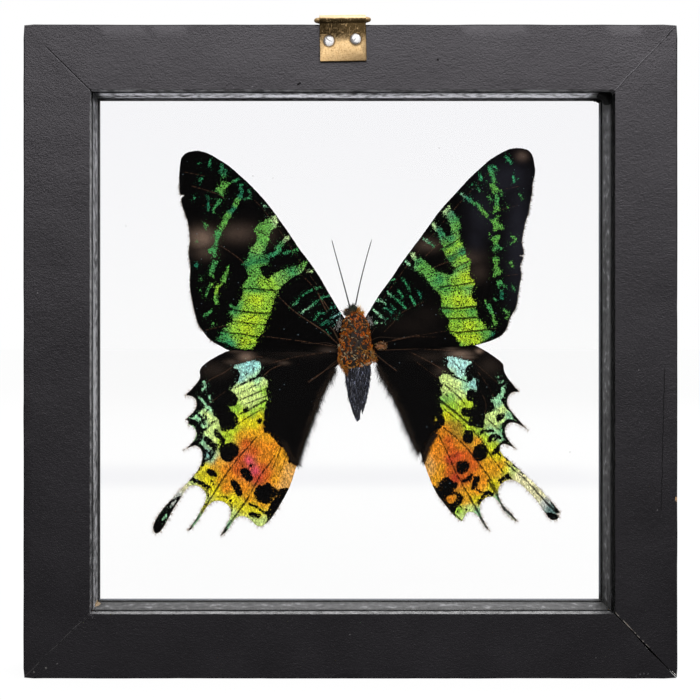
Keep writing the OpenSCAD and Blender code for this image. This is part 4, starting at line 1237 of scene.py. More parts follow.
def brass_finish(name, tarnished_and_lit):
    """Brass plating, rubbed and scratched. On the strap the upper half is dark, partly tarnish and partly a painted
    dark reflection; the strap's foot has a little painted shade, the knuckle's top a painted highlight, and each screw
    a painted shadow round it.
    """
    f = Finish(name)
    brushed = f.noise(0.16, 3, (1, 1, 0.16), (0, math.radians(8), 0))
    rub = f.noise(0.22, 3, (1, 1, 0.1), (0, math.radians(24), 0))
    rub = rub.most(f.noise(0.24, 2, (0.14, 1, 1), (0, math.radians(-30), 0)) * 0.95)
    mottle = f.noise(0.9, 4)
    grain = f.noise(0.3, 3)
    flecks = f.specks(0.9, (0.62, 0.7), (0.1, 0.28))
    base = f.mix(mottle, tone(182, 146, 98), tone(236, 208, 160))
    base = f.mix(grain.fade(0.5, 0.7) * 0.5 + brushed.fade(0.55, 0.7) * 0.3, base, tone(148, 110, 62))
    rough = 0.46 + 0.14 * mottle + 0.1 * rub
    scratch = rub.fade(0.6, 0.68)
    if tarnished_and_lit:
        height = f.axis(2) - HANGER_TOP + 11
        waver = (mottle - 0.5) * 3 + (grain - 0.5) * 2
        # Partly tarnish and partly a painted dark reflection: the dark band over the strap's upper half.
        dark = (height + waver).fade(4.1, 6.9) * (1 - (height + waver * 0.12).fade(9.8, 10.1))
        dark = dark * (1 - flecks * 0.8) * (1 - scratch * 0.75) * (0.75 + 0.4 * grain)
        tarnish_and_reflection = f.mix(mottle * 0.6 + grain * 0.4, tone(30, 22, 10), tone(116, 94, 60))
        tarnish_and_reflection = f.mix(0.6 - 0.6 * f.axis(0).fade(-4, 0), tarnish_and_reflection, tone(18, 13, 7))
        base = f.mix(dark, base, tarnish_and_reflection)
        rough = rough + 0.1 * dark
        # Painted shade: a little darker at the strap's foot.
        low = 1 - (height + waver * 0.2).fade(1.2, 2.0)
        base = f.mix(low * 0.2 * mottle, base, tone(120, 88, 44))
        # Painted highlight along the knuckle's top.
        base = f.mix(height.fade(10, 10.3), base, tone(255, 234, 196))
        # Painted shadows: a dark ring round each screw, a little to its lower right.
        for across, down in SCREWS:
            spot = HINGE + Vector((across + 0.16, 0, down - 0.14))
            painted_screw_shadow = f.near((spot.x * MM, (SCREW_FACE + 0.1) * MM, spot.z * MM), 1.75 * MM)
            base = f.mix(painted_screw_shadow * 0.75, base, tone(64, 44, 22))
    return f.surface(
        Base_Color=base, Metallic=1.0, Roughness=rough + 0.08 * scratch,
        Normal=f.bump(mottle * 0.6 + scratch * 0.5 + brushed * 0.5 + grain * 0.5, 0.035, 0.7),
    )


def bright_steel(name, light, dark, metal=1.0):
    """Scratched steel. Where it isn't all metal, it is the screws' plating, near white as partly a painted reflection,
    with painted shade in the slots.
    """
    f = Finish(name)
    worn = f.noise(0.4, 3)
    scratch = f.noise(0.1, 2, (0.1, 1, 1), (0, math.radians(35), 0))
    base = f.mix(worn * 0.6 + scratch * 0.4, tone(*dark), tone(*light))
    more = {}
    if metal < 1:
        more = {"Coat_Weight": 1.0, "Coat_Roughness": 0.3}
        # Painted shade in the screws' slots.
        base = f.mix(f.level("slot") * 0.8, base, tone(60, 54, 58))
        mark = f.noise(0.35, 3, (1, 1, 0.3), (0, math.radians(-30), 0))
        base = f.mix(mark.fade(0.6, 0.7) * 0.4, base, tone(120, 112, 118))
    return f.surface(
        Base_Color=base, Metallic=metal, Roughness=0.3 + 0.2 * worn, Normal=f.bump(scratch + worn, 0.03, 0.6), **more
    )


def adhesive_finish():
    """A milky dab that light enters a little way."""
    f = Finish("milky_adhesive")
    cloud = f.noise(0.8, 3)
    return f.surface(
        Base_Color=f.mix(cloud, tone(196, 190, 172), tone(226, 222, 206)), Roughness=0.3 + 0.2 * cloud,
        Subsurface_Weight=0.2, Normal=f.bump(cloud, 0.05, 0.5),
    )


# ---------------------------------------------------------------- the case


def copy_of(node, name):
    """A new piece with a CAD node's shape, merged so that it can be worked on."""
    piece = bpy.data.objects.new(name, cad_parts[node].data.copy())
    bpy.context.scene.collection.objects.link(piece)
    piece.data.materials.clear()
    with editing(piece):
        bpy.ops.mesh.remove_doubles(threshold=0.002 * MM)
        bpy.ops.mesh.dissolve_limited(angle_limit=math.radians(0.5))
    return piece


def painted_rail(node, finish):
    """A rail with its edges eased by many coats, and a hand-cut waver in its faces."""
    piece = copy_of(node, node + "_painted")
    ease(piece, 0.13, 30)
    low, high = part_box(node)
    with editing(piece):
        for axis, gap in ((0, 2.4), (2, 2.4), (1, 3.1)):
            for k in range(1, int((high[axis] - low[axis]) / MM / gap)):
                where, facing = [0, 0, 0], [0, 0, 0]
                where[axis] = low[axis] + k * gap * MM
                facing[axis] = 1
                bpy.ops.mesh.select_all(action="SELECT")
                bpy.ops.mesh.bisect(plane_co=where, plane_no=facing)
    for v in piece.data.vertices:
        at = v.co / MM
        waver = noise.noise_vector(at / 9) * 0.07 + noise.noise_vector(at / 3.1) * 0.035
        v.co = (worn_corner(at) + waver + seam_opening(node, at)) * MM
    piece.data.materials.append(finish)
    if node == "right_rail":
        piece.data.materials.append(skin_finish("dull_inner_edge", (7, 7, 8), (2, 2, 2), 0.05))
        for face in piece.data.polygons:
            if face.normal.x < -0.6 and -11.38 < face.center.y / MM < -7.5:
                face.material_index = 1
    smooth(piece, 11)
    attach(piece, "case")
    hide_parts(node)


def worn_corner(at):
    """Rounds the frame's four outer corners a little, as handling has."""
    radius = 0.7
    inner = HALF - radius
    off = Vector((abs(at.x) - inner, abs(at.z - HALF) - inner))
    if off.x <= 0 or off.y <= 0 or off.length <= radius:
        return at
    off = off * (radius / off.length)
    return Vector((math.copysign(inner + off.x, at.x), at.y, HALF + math.copysign(inner + off.y, at.z - HALF)))


def seam_opening(node, at):
    """How far a point beside the lower right mitre is drawn back, where that joint has opened."""
    outer, inner = (Vector(p) for p in MITRES["lower_right"])
    way = (inner - outer).normalized()
    off = Vector((at.x, at.z)) - outer
    inward, across = off.dot(way), off.x * way.y - off.y * way.x
    if abs(across) > 0.3 or node not in ("bottom_rail", "right_rail"):
        return Vector((0, 0, 0))
    half = 0.05 + 0.17 * math.exp(-(((inward - 9.5) / 3.2) ** 2)) + 0.05 * noise.noise(at / 1.7)
    half *= -1 if node == "bottom_rail" else 1
    return Vector((-way.y, 0, way.x)) * -half


def dress(node, finish):
    """Gives a CAD node that keeps its shape a better finish."""
    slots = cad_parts[node].data.materials
    if len(slots) == 0:
        slots.append(finish)
    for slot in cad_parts[node].material_slots:
        slot.material = finish


# Drips of paint under the top stop: pixel across, pixel down and radius in millimetres.
DRIPS = [(599, 100.9, 0.7), (597, 101, 0.42), (594.5, 100.6, 0.36), (591.5, 100.4, 0.28)]


def make_case():
    lying = paint_finish("black_paint_across", 0)
    upright_paint = paint_finish("black_paint_upright", 2)
    for node, finish in (
        ("top_rail", lying), ("bottom_rail", lying), ("left_rail", upright_paint), ("right_rail", upright_paint)
    ):
        painted_rail(node, finish)
    run_paint = skin_finish("run_paint", (10, 9, 9), (2, 2, 2), 0.12)
    corner = (SIGHT_RIGHT, SIGHT_TOP)
    corner_paint("upper_right_corner_paint", corner, 1.0, lying,
                 (-11.47, -11.3, -9.2, -7.7), (0.94, 1.0, 1.0, 1.0))
    behind_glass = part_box("top_spacer")[0][1] / MM + 0.1
    corner_paint("upper_right_chamber_paint", corner, 2.7, run_paint,
                 (behind_glass, -2, 3, 6.8), (1.0, 0.95, 0.8, 0.5))
    for k, (px, py, size) in enumerate(DRIPS, 1):
        x, y, z = (value / MM for value in on_plane(px, py, STOP_Y * MM))
        lump(f"paint_drip_{k}", (x, y, z + size * 0.3), size, run_paint, round(px), 0.4)
    # The light factor is painted light: the top and left strips are made lighter and the bottom and right ones darker,
    # for how light falls on them.
    for side, along, light, pale_rim in (
        ("top", 0, 2.1, 0), ("bottom", 0, 0.8, 1), ("left", 2, 1.45, 0), ("right", 2, 0.85, 1)
    ):
        finish = liner_finish(side + "_liner_paint_and_light", along, light, pale_rim)
        dress(side + "_spacer", finish)
        dress(side + "_stop", finish)
    glass = glass_finish()
    steel = bright_steel("brad_wire", (150, 150, 152), (92, 92, 96))
    for node, finish in (
        ("front_glass", glass), ("back_glass", glass), ("corner_brads", steel), ("stop_brads", steel)
    ):
        dress(node, finish)


def corner_paint(name, corner, size, finish, depths, swell):
    """Paint that has run together and hardened in an inner corner of the rails."""
    x, z = corner
    over = 0.1
    arc = [(math.cos(t * math.pi / 12), math.sin(t * math.pi / 12)) for t in range(7)]
    hollow = [(x - size * (1 - c), z - size * (1 - s)) for c, s in arc]
    profile = [(x + over, z + over), (x - size, z + over), *hollow[::-1], (x + over, z - size)]
    points = [
        Vector((x + over + (px - x - over) * k, y, z + over + (pz - z - over) * k)) * MM
        for y, k in zip(depths, swell) for px, pz in profile
    ]
    n = len(profile)
    faces = [
        (a * n + i, a * n + (i + 1) % n, (a + 1) * n + (i + 1) % n, (a + 1) * n + i)
        for a in range(len(depths) - 1) for i in range(n)
    ]
    faces += [tuple(range(n))[::-1], tuple(range((len(depths) - 1) * n, len(depths) * n))]
    piece = add_piece(name, points, faces, finish)
    with editing(piece):
        bpy.ops.mesh.remove_doubles(threshold=0.001 * MM)
        bpy.ops.mesh.normals_make_consistent(inside=False)


def slot_depths(screws):
    """1 for the points of the screws' heads that lie in their slots, under the dome, and 0 for the rest."""
    deep = [0.0] * len(screws.data.vertices)
    for across, down in SCREWS:
        centre = HINGE + Vector((across, 0, down))
        for v in screws.data.vertices:
            off = v.co / MM - centre
            reach = math.hypot(off.x, off.z)
            if reach < 1.3:
                dome = 0.95 * math.sqrt(max(0, 1 - (reach / 1.26) ** 2))
                deep[v.index] = float(SCREW_FACE - dome < v.co.y / MM - 0.1)
    return deep


def make_hanger():
    plate = copy_of("hanger_plate", "hanger_strap")
    ease(plate, 0.08, 35)
    plate.data.materials.append(brass_finish("tarnished_brass_with_painted_light", True))
    smooth(plate, 38)
    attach(plate, "case")
    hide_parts("hanger_plate")
    dress("hanger_ring", brass_finish("wire_brass", False))
    screws = copy_of("hanger_screws", "hanger_screw_heads")
    ease(screws, 0.05, 35)
    note(screws, "slot", slot_depths(screws))
    # The near-white, mostly non-metal heads are partly a painted reflection.
    screws.data.materials.append(bright_steel("screw_plating_and_reflection", (255, 255, 255), (248, 245, 246), 0.2))
    smooth(screws, 38)
    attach(screws, "case")
    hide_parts("hanger_screws")


# ---------------------------------------------------------------- the moth's body

FUR = {
    "orange": tone(236, 126, 26), "rust": tone(184, 102, 26), "brown": tone(112, 74, 34), "dark": tone(62, 44, 30),
    "grey": tone(92, 78, 66), "cream": tone(240, 222, 178), "straw": tone(204, 156, 92), "black": tone(20, 20, 20),
    "green": tone(44, 56, 40), "slate": tone(46, 48, 60), "steel": tone(116, 120, 140), "night": tone(16, 17, 23),
    "white": tone(206, 204, 200), "beige": tone(190, 168, 152), "pearl": tone(232, 222, 212), "umber": tone(58, 42, 30),
    "soot": tone(32, 25, 20), "amber": tone(240, 160, 60), "ash": tone(176, 178, 190),
}

FUR_STATIONS = {
    "dark": [(345, 312), (356, 338), (354, 350)],
    "green": [(352, 307)],
    "orange": [(357, 314), (361, 319), (358, 326), (368, 346), (374, 361), (345, 362), (344, 330), (365, 330)],
    "rust": [(352, 320), (342, 332), (346, 344), (366, 334), (362, 356), (342, 370), (341, 350), (355, 330)],
    "brown": [(345, 322), (350, 330), (350, 358), (360, 345)],
    "straw": [(372, 354), (350, 368), (339, 362), (364, 324), (363, 350)],
}


def roots_on(node, count, rng):
    """Random places on a CAD node's skin, and the directions that it faces there."""
    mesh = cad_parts[node].data
    mesh.calc_loop_triangles()
    spots = np.array([v.co for v in mesh.vertices])
    corners = spots[np.array([t.vertices for t in mesh.loop_triangles])]
    cross = np.cross(corners[:, 1] - corners[:, 0], corners[:, 2] - corners[:, 0])
    size = np.linalg.norm(cross, axis=1)
    chosen = rng.choice(len(size), count, p=size / size.sum())
    u, v = rng.random((2, count, 1))
    flip = u + v > 1
    u, v = np.where(flip, 1 - u, u), np.where(flip, 1 - v, v)
    at = corners[chosen, 0] * (1 - u - v) + corners[chosen, 1] * u + corners[chosen, 2] * v
    return at, cross[chosen] / size[chosen, None]


def unit(ways):
    return ways / np.linalg.norm(ways, axis=1, keepdims=True)


def picked_tones(rng, names, count, spread):
    """A colour for each of count hairs, one of the named ones, lighter or darker by chance."""
    palette = np.array([FUR[name][:3] for name in names])
    return palette[rng.integers(0, len(names), count)] * np.exp(rng.normal(0, spread, (count, 1)))


def clumped(spots, size, seed):
    """Smooth noise at each spot, in lumps of a size in millimetres."""
    return np.array([noise.noise(Vector((*spot, seed)) / size) for spot in spots])


THORAX_MIDDLE = (355, 342)                # its darkest place, in pixels
THORAX_HEM = (70.2, 71.9)                 # how low its hair hangs at the left and at the right, in millimetres
ABDOMEN_NOTCH = (361, 408)                # the notch near its end, in pixels


def make_thorax_fur(finish):
    """Short matted tufts that point every way, some bright and some dark, with gaps between them. The cream and the
    brightest tufts are partly pale hair and partly painted glints.
    """
    rng = np.random.default_rng(21)
    each = 10
    hub, facing = roots_on("moth_thorax", 1750, rng)
    shown = facing[:, 1] < 0.5
    hub, facing = hub[shown], facing[shown]
    heading = rng.normal(0, 1, hub.shape) + np.array([0, 0, -0.7])
    heading = unit(heading - (heading * facing).sum(1, keepdims=True) * facing)
    tones = blended(hub[:, [0, 2]] / MM, FUR_STATIONS, FUR)
    tones = tones * np.exp(rng.normal(0, 0.7, (len(hub), 1))) * np.array([1.08, 0.92, 0.66])
    tones[:, 1] *= rng.uniform(0.85, 1.3, len(hub))
    kind = rng.random(len(hub))
    # Painted glints, partly pale hair: cream tufts, and tufts made about twice as bright.
    dark, cream_hair_and_glint, bright = kind < 0.3, (kind > 0.3) & (kind < 0.4), kind > 0.8
    tones[dark] *= 0.08
    tones[cream_hair_and_glint] = np.array(FUR["cream"][:3]) * rng.uniform(0.45, 1.0, (cream_hair_and_glint.sum(), 1))
    tones[bright] *= np.array([2.1, 1.95, 1.6])
    middle_x, middle_z = on_moth([THORAX_MIDDLE])[0]
    off = ((hub[:, 0] / MM - middle_x) / 1.7) ** 2 + ((hub[:, 2] / MM - middle_z) / 3.4) ** 2
    tones *= 1 - 0.45 * np.exp(-off)[:, None]
    lift = np.where(dark, 0.02, rng.uniform(0.08, 0.45, len(hub)))[:, None]

    def spread(values):
        return np.repeat(values, each, 0)

    count = len(hub) * each
    reach = spread(rng.uniform(0.3, 0.85, (len(hub), 1))) * rng.uniform(0.75, 1.1, (count, 1)) * MM
    root = spread(hub) + rng.normal(0, 0.06, (count, 3)) * MM
    tip = root + (spread(heading + facing * lift) + rng.normal(0, 0.12, (count, 3))) * reach
    low = np.where(tip[:, 0] / MM < 0, *THORAX_HEM) * MM
    tip[:, 2] = np.maximum(tip[:, 2], np.minimum(low + rng.uniform(-0.3, 0.3, count) * MM, root[:, 2]))
    bend = spread(rng.normal(0, 0.18, hub.shape)) * MM + rng.normal(0, 0.03, (count, 3)) * MM
    shade = spread(tones) * np.exp(rng.normal(0, 0.28, (count, 1)))
    widths = rng.uniform(0.055, 0.115, count) * MM
    shade *= np.minimum(1, 0.8 / shade.max(1, keepdims=True))
    strands("thorax_fur", root, tip, bend, widths, shade, finish, 3)


def make_abdomen_fur(finish):
    """Long flat fibres towards the tail, in clumps with lighter ones among them. The ash-coloured ones are partly pale
    fibres and partly painted glints.
    """
    rng = np.random.default_rng(22)
    at, out = roots_on("moth_abdomen", 4200, rng)
    clump = np.array([noise.noise_vector(Vector(p / MM) / 1.1) for p in at])
    lie = np.array([0, 0, -1.0]) + out * rng.uniform(-0.06, 0.14, (len(at), 1)) + clump * 0.4
    lie = unit(lie + rng.normal(0, 0.12, at.shape))
    height = at[:, 2:3]
    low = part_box("moth_abdomen")[0][2]
    room = np.where(height < 64.2 * MM, 0.4 * MM, np.clip((height - low) * 0.3, 0.4 * MM, 1.3 * MM))
    tips = at + lie * rng.uniform(0.4, 1, (len(at), 1)) * room
    notch_x, notch_z = on_moth([ABDOMEN_NOTCH])[0] * MM
    clear = (tips[:, 2] >= notch_z + 0.1 * MM) | (np.abs(tips[:, 0] - notch_x) >= 0.22 * MM)
    at, out, tips = at[clear], out[clear], tips[clear]
    bends = out * 0.05 * MM + rng.normal(0, 0.05, at.shape) * MM
    band = np.array([noise.noise(Vector(p / MM) / 0.5 + Vector((0, 0, p[2] / MM * 1.4))) for p in at])
    base = np.array([FUR[name][:3] for name in ("night", "slate", "steel")])
    tones = base[rng.choice(3, len(at), p=(0.5, 0.32, 0.18))]
    tones = tones * np.exp(rng.normal(0, 0.6, (len(at), 1)) + band[:, None] * 2.2)
    # Painted glints, partly pale fibres: some fibres set to ash.
    tones[rng.random(len(at)) < 0.06] = FUR["ash"][:3]
    widths = rng.uniform(0.06, 0.12, len(at)) * MM
    strands("abdomen_fibres", at, tips, bends, widths, tones, finish, 3)


def tuft(name, line, count, wide, heading, reach, colours, finish, seed, depth, width=(0.05, 0.1)):
    """Hairs scattered beside a line given in pixels."""
    rng = np.random.default_rng(seed)
    path = curve(on_moth(line))
    t = rng.uniform(0, len(path) - 1, count)
    at = np.column_stack([np.interp(t, np.arange(len(path)), path[:, i]) for i in (0, 1)])
    at += rng.normal(0, 1, at.shape) * wide
    root = upright(at, depth + rng.normal(0, 0.12, count))
    way = unit(np.array(heading, float) + rng.normal(0, 0.45, root.shape))
    tip = root + way * rng.uniform(*reach, (count, 1))
    bend = rng.normal(0, 0.12, root.shape)
    shade = np.minimum(picked_tones(rng, colours, count, 0.35), 0.9)
    widths = rng.uniform(*width, count) * MM
    strands(name, root * MM, tip * MM, bend * MM, widths, shade, finish, 3)


# Tufts where the wings meet the thorax: a line in pixels, hairs, spread, heading, lengths, colours, seed, depth and
# widths. Lengths are in millimetres.
ROOT_TUFTS = {
    "left_root_flecks": dict(
        line=[(339.5, 320), (337.5, 331)], count=90, wide=0.3, heading=(0.3, -0.2, 1), reach=(0.25, 0.6),
        colours=("white", "grey", "white"), seed=51, depth=-0.3),
    "right_root_flecks": dict(
        line=[(367.5, 317), (371, 326)], count=110, wide=0.36, heading=(0.5, -0.2, 0.8), reach=(0.25, 0.6),
        colours=("white", "grey", "white"), seed=52, depth=-0.3),
    "thorax_hem": dict(
        line=[(346.5, 363), (352, 364), (356, 365.3), (361, 364.6), (368, 363)], count=150, wide=0.1,
        heading=(1, -0.3, 0), reach=(0.3, 0.8), colours=("cream", "cream", "straw", "pearl"), seed=53, depth=-2.3),
    "left_flap": dict(
        line=[(341, 362), (343.5, 367), (347.5, 371.5)], count=620, wide=0.3, heading=(0.5, -0.1, -1),
        reach=(0.3, 0.9), colours=("rust", "straw", "brown", "dark", "orange"), seed=54, depth=-1.2,
        width=(0.06, 0.12)),
    "right_flap": dict(
        line=[(370.5, 349), (373, 356), (373.5, 361)], count=460, wide=0.26, heading=(0.4, -0.2, -0.8),
        reach=(0.3, 0.8), colours=("straw", "orange", "brown", "dark"), seed=55, depth=-0.9, width=(0.06, 0.12)),
    "right_root_lobe_hair": dict(
        line=[(375.5, 344), (380, 342.6), (385, 344), (384.6, 348), (379, 349), (376, 347)], count=300, wide=0.16,
        heading=(0.6, -0.3, -0.1), reach=(0.15, 0.4), colours=("beige", "straw", "brown", "grey", "rust"), seed=56,
        depth=-0.35),
}
ROOT_LOBE = (380.5, 346.5)                # in pixels
# The legs that show: a line in pixels and the thickest radius in millimetres.
LEGS = {
    "left_hind_leg": ([(339, 359), (331, 364.5), (321, 373.5), (308.5, 383)], 0.062),
    "left_middle_leg": ([(338, 346.5), (333, 344.5), (325, 342.6), (313, 343.6), (301, 342.6)], 0.05),
    "left_upper_leg": ([(330, 326.5), (334, 332), (338, 338.5), (341, 345)], 0.07),
    "left_fore_leg": ([(340.5, 310.3), (342.5, 311.2), (345.5, 313.6)], 0.065),
    "right_upper_leg": ([(370, 341.5), (374, 338.8), (380, 337), (390, 337.6), (401, 338), (417, 334.5)], 0.055),
    "right_fore_leg": ([(369, 337.5), (372, 332.5), (375.5, 327)], 0.07),
    "right_hind_leg": ([(372, 350), (380, 358), (388, 364.5), (397, 371)], 0.05),
}


def make_wing_roots(fur):
    """What sits where the wings meet the thorax: pale flecks, a lobe, small legs and the thorax's cream hem."""
    for name, how in ROOT_TUFTS.items():
        tuft(name, finish=fur, **how)
    x, z = on_moth([ROOT_LOBE])[0]
    lobe = skin_finish("root_lobe_skin", (150, 92, 42), (66, 40, 24))
    lump("right_root_lobe", (x, 0.1, z), 1.05, lobe, 14, 0.2, (1.0, 0.35, 0.5))
    for name, (line, size) in LEGS.items():
        path = curve(on_moth(line))
        rise = np.linspace(0, 1, len(path))
        points = upright(path, -0.35 - 0.25 * np.sin(rise * math.pi)) * MM
        radii = size * MM * (1 - 0.45 * rise) * (1 + 0.12 * np.sin(rise * 17))
        rod(name, points, radii, fur, 8, FUR["umber"])


def fringe(name, line, count, lie, reach, width, tones, finish, seed, depth, thick=0.12, body_side=0.0):
    """Hairs along a wing's edge, which lie in its plane."""
    rng = np.random.default_rng(seed)
    path = curve(on_moth(line))
    seg = np.linalg.norm(np.diff(path, axis=0), axis=1)
    passed = np.append(0, seg.cumsum())

    def place(lengths):
        return np.column_stack([np.interp(lengths, passed, path[:, i]) for i in (0, 1)])

    along = rng.uniform(0, seg.sum(), count)
    where = place(along)
    where += rng.normal(0, 1, where.shape) * body_side
    ahead = unit(place(along + 0.5) - place(along - 0.5))
    angle = lie + rng.normal(0, 0.2, count)
    angle += clumped(where, 1.6, seed) * 0.35
    cos, sin = np.cos(angle), np.sin(angle)
    way = np.column_stack([ahead[:, 0] * cos - ahead[:, 1] * sin, ahead[:, 0] * sin + ahead[:, 1] * cos])
    length = rng.uniform(*reach, count)
    start = upright(where, depth + camber(where) + rng.uniform(-0.5, 0.5, count) * thick)
    end = start + upright(way * length[:, None], rng.normal(0, 0.08, count))
    bend = rng.normal(0, 0.08, start.shape) * length[:, None] * 0.5
    shade = picked_tones(rng, tones, count, 0.25)
    widths = rng.uniform(0.6, 1.1, count) * width * MM
    strands(name, start * MM, end * MM, bend * MM, widths, shade, finish, 4)


def rim_fringe(node, count, reach, width, tones, finish, seed):
    """Short hairs that stand out from a wing's own edge, along its outer margin."""
    rng = np.random.default_rng(seed)
    rim = outline(node)
    step = np.roll(rim, -1, 0) - rim
    size = np.hypot(*step.T)
    chosen = rng.choice(len(rim), count, p=size / size.sum())
    at = rim[chosen] + step[chosen] * rng.random((count, 1))
    out = np.column_stack([step[chosen, 1], -step[chosen, 0]]) / size[chosen, None]
    if inside(rim[:1] + 0.01 * np.array([[step[0, 1], -step[0, 0]]]) / size[0], rim)[0]:
        out = -out
    here = outer_margin(at, node) * np.clip(0.55 + clumped(at, 0.42, seed) * 1.6, 0.1, 1) > rng.random(count)
    at, out = at[here], out[here]
    count = len(at)
    way = out + rng.normal(0, 0.3, at.shape) + np.array([0, -0.25])
    depth = middle_of(node) + camber(at)
    length = rng.uniform(*reach, (count, 1))
    start = upright(at, depth) - upright(out, 0 * depth) * 0.05
    end = start + upright(way, rng.normal(0, 0.1, count)) * length
    shade = np.minimum(picked_tones(rng, tones, count, 0.15), 0.9)
    bend = rng.normal(0, 0.05, start.shape) * length
    widths = rng.uniform(0.6, 1.1, count) * width * MM
    strands(node + "_fringe", start * MM, end * MM, bend * MM, widths, shade, finish, 3)


# The hindwings' inner margins and the hems at their ends, in pixels.
INNER_MARGINS = {
    "left": [(335, 367.5), (330.5, 374), (326, 382), (321.5, 391), (317, 402), (312.5, 414), (308.5, 425),
             (303.6, 438), (299.4, 450), (296.8, 459)],
    "right": [(377, 364.5), (381, 370), (385.5, 378), (390, 386.5), (395.5, 396), (401, 407), (406, 419),
              (410.5, 430), (415.5, 441), (419.5, 450)],
}
HEMS = {
    "left": [(283, 441), (288, 450), (292, 458), (298, 464)],
    "right": [(437, 433), (430, 443), (426, 453), (423.5, 461)],
}


def make_fringes(finish):
    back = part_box("left_hindwing")[0][1] / MM + 0.125
    browns = ("soot", "umber", "black", "soot")
    for side, way, hairs, longest, hem_hairs, seed in (
        ("left", 1, 2800, 3.0, 1500, 31), ("right", -1, 2900, 3.2, 1300, 32)
    ):
        edge = INNER_MARGINS[side]
        fringe(side + "_inner_down", edge, 4200, way * 0.24, (0.5, 1.9), 0.045, browns, finish, seed, back,
               body_side=0.4)
        fringe(side + "_inner_hair", edge, hairs, way * 0.62, (0.8, longest), 0.042, browns, finish, seed + 2, back,
               body_side=0.2)
        fringe(side + "_hem_hair", HEMS[side], hem_hairs, way * -0.1, (0.4, 1.5), 0.045, browns, finish, seed + 4,
               back - 0.12, 0.05, 0.32)
        rim_fringe(side + "_forewing", 5600, (0.18, 0.5), 0.06, ("beige", "brown", "dark", "umber"), finish,
                   seed + 10)
        rim_fringe(side + "_hindwing", 9000, (0.3, 0.75), 0.05, ("pearl", "pearl", "beige"), finish, seed + 12)


ANTENNAE = {                              # in pixels
    "left_antenna": [(349.5, 306), (346.5, 294.5), (342.6, 280), (338.2, 264), (334.5, 250.5), (331.7, 239.5)],
    "right_antenna": [(355.5, 305), (357, 297.5), (359.5, 285.5), (363, 271), (367.4, 254.5), (371.8, 239.3)],
}


def make_antennae(finish):
    for node, line in ANTENNAE.items():
        path = curve(on_moth(line))
        rise = np.linspace(0, 1, len(path))
        points = upright(path, middle_of(node) - 0.3 * np.sin(rise * 3)) * MM
        radii = (0.17 - 0.07 * rise) * MM * (1 + 0.05 * np.sin(rise * 60))
        radii[-1] *= 0.4
        piece = rod(node + "_thread", points, radii, finish, 8, FUR["slate"])
        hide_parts(node)


def antenna_finish():
    """Dark thread in fine rings."""
    f = Finish("antenna_thread")
    rings = f.noise(0.16, 2, (0.4, 0.4, 1))
    base = f.mix(rings, tone(30, 31, 34), tone(74, 74, 78))
    return f.surface(Base_Color=base, Roughness=0.5 + 0.2 * rings, Normal=f.bump(rings, 0.02, 0.5))


def skin_finish(name, light, dark, gloss=0.5):
    """A dull mottled skin, or paint, between two colours."""
    f = Finish(name)
    mottle = f.noise(0.5, 3)
    streak = f.noise(0.2, 2, (1, 1, 0.3))
    base = f.mix(mottle * 0.6 + streak * 0.4, tone(*dark), tone(*light))
    return f.surface(
        Base_Color=base, Roughness=0.7 + 0.2 * mottle, Normal=f.bump(mottle + streak, 0.08, 0.7),
        Specular_IOR_Level=gloss,
    )


def lump(name, at, size, finish, seed, rough=0.2, shape=(1, 1, 1)):
    """An uneven ball, pulled out of a sphere."""
    bpy.ops.object.select_all(action="DESELECT")
    centre = Vector(at)
    bpy.ops.mesh.primitive_uv_sphere_add(segments=24, ring_count=16, radius=size * MM, location=centre * MM)
    ball = bpy.context.object
    bpy.ops.object.transform_apply(location=True, rotation=True, scale=True)
    for v in ball.data.vertices:
        off = v.co / MM - centre
        push = noise.noise(off * 1.3 / size + Vector((seed, 0, 0)))
        push += 0.5 * noise.noise(off * 3.1 / size + Vector((0, seed, 0)))
        off = off * (1 + rough * push)
        v.co = (centre + off * Vector(shape)) * MM
    ball.name = name
    ball.data.materials.append(finish)
    only(ball)
    bpy.ops.object.shade_smooth()
    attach(ball, "case")
    return ball


# Lumps of the head: pixel across, pixel down, how far forward, radius, skin, seed and roughness of shape.
HEAD_LUMPS = {
    "collar_lobe": (347.4, 312.4, 0.2, 0.8, "collar", 8, 0.35),
    "neck": (352.5, 314, 0.0, 1.1, "neck", 11, 0.25),
    "left_eye": (350, 307.4, 0.55, 0.42, "eye", 5, 0.04),
    "right_eye": (355.3, 308, 0.55, 0.46, "eye", 6, 0.04),
}
# Tufts of the head: pixel across, pixel down, radius, colour, hairs and how far they stand up.
# The cream tuft on the collar lobe is partly pale hair and partly painted glints.
HEAD_TUFTS = [
    (352.6, 308.6, 0.95, "green", 260, 0.0), (352.6, 309, 0.9, "black", 260, 0.0),
    (347.2, 312.2, 0.85, "brown", 150, 0.0), (347.2, 312.2, 0.8, "cream", 70, 0.0),
    (347.4, 312.6, 0.8, "black", 300, 0.0), (357.2, 312.4, 0.85, "orange", 330, 0.5),
    (358.6, 310, 0.6, "amber", 90, 0.9), (361, 316, 0.9, "orange", 330, 0.3),
    (362.2, 313.4, 0.6, "amber", 90, 0.8), (352, 315, 1.1, "brown", 300, 0.0),
]


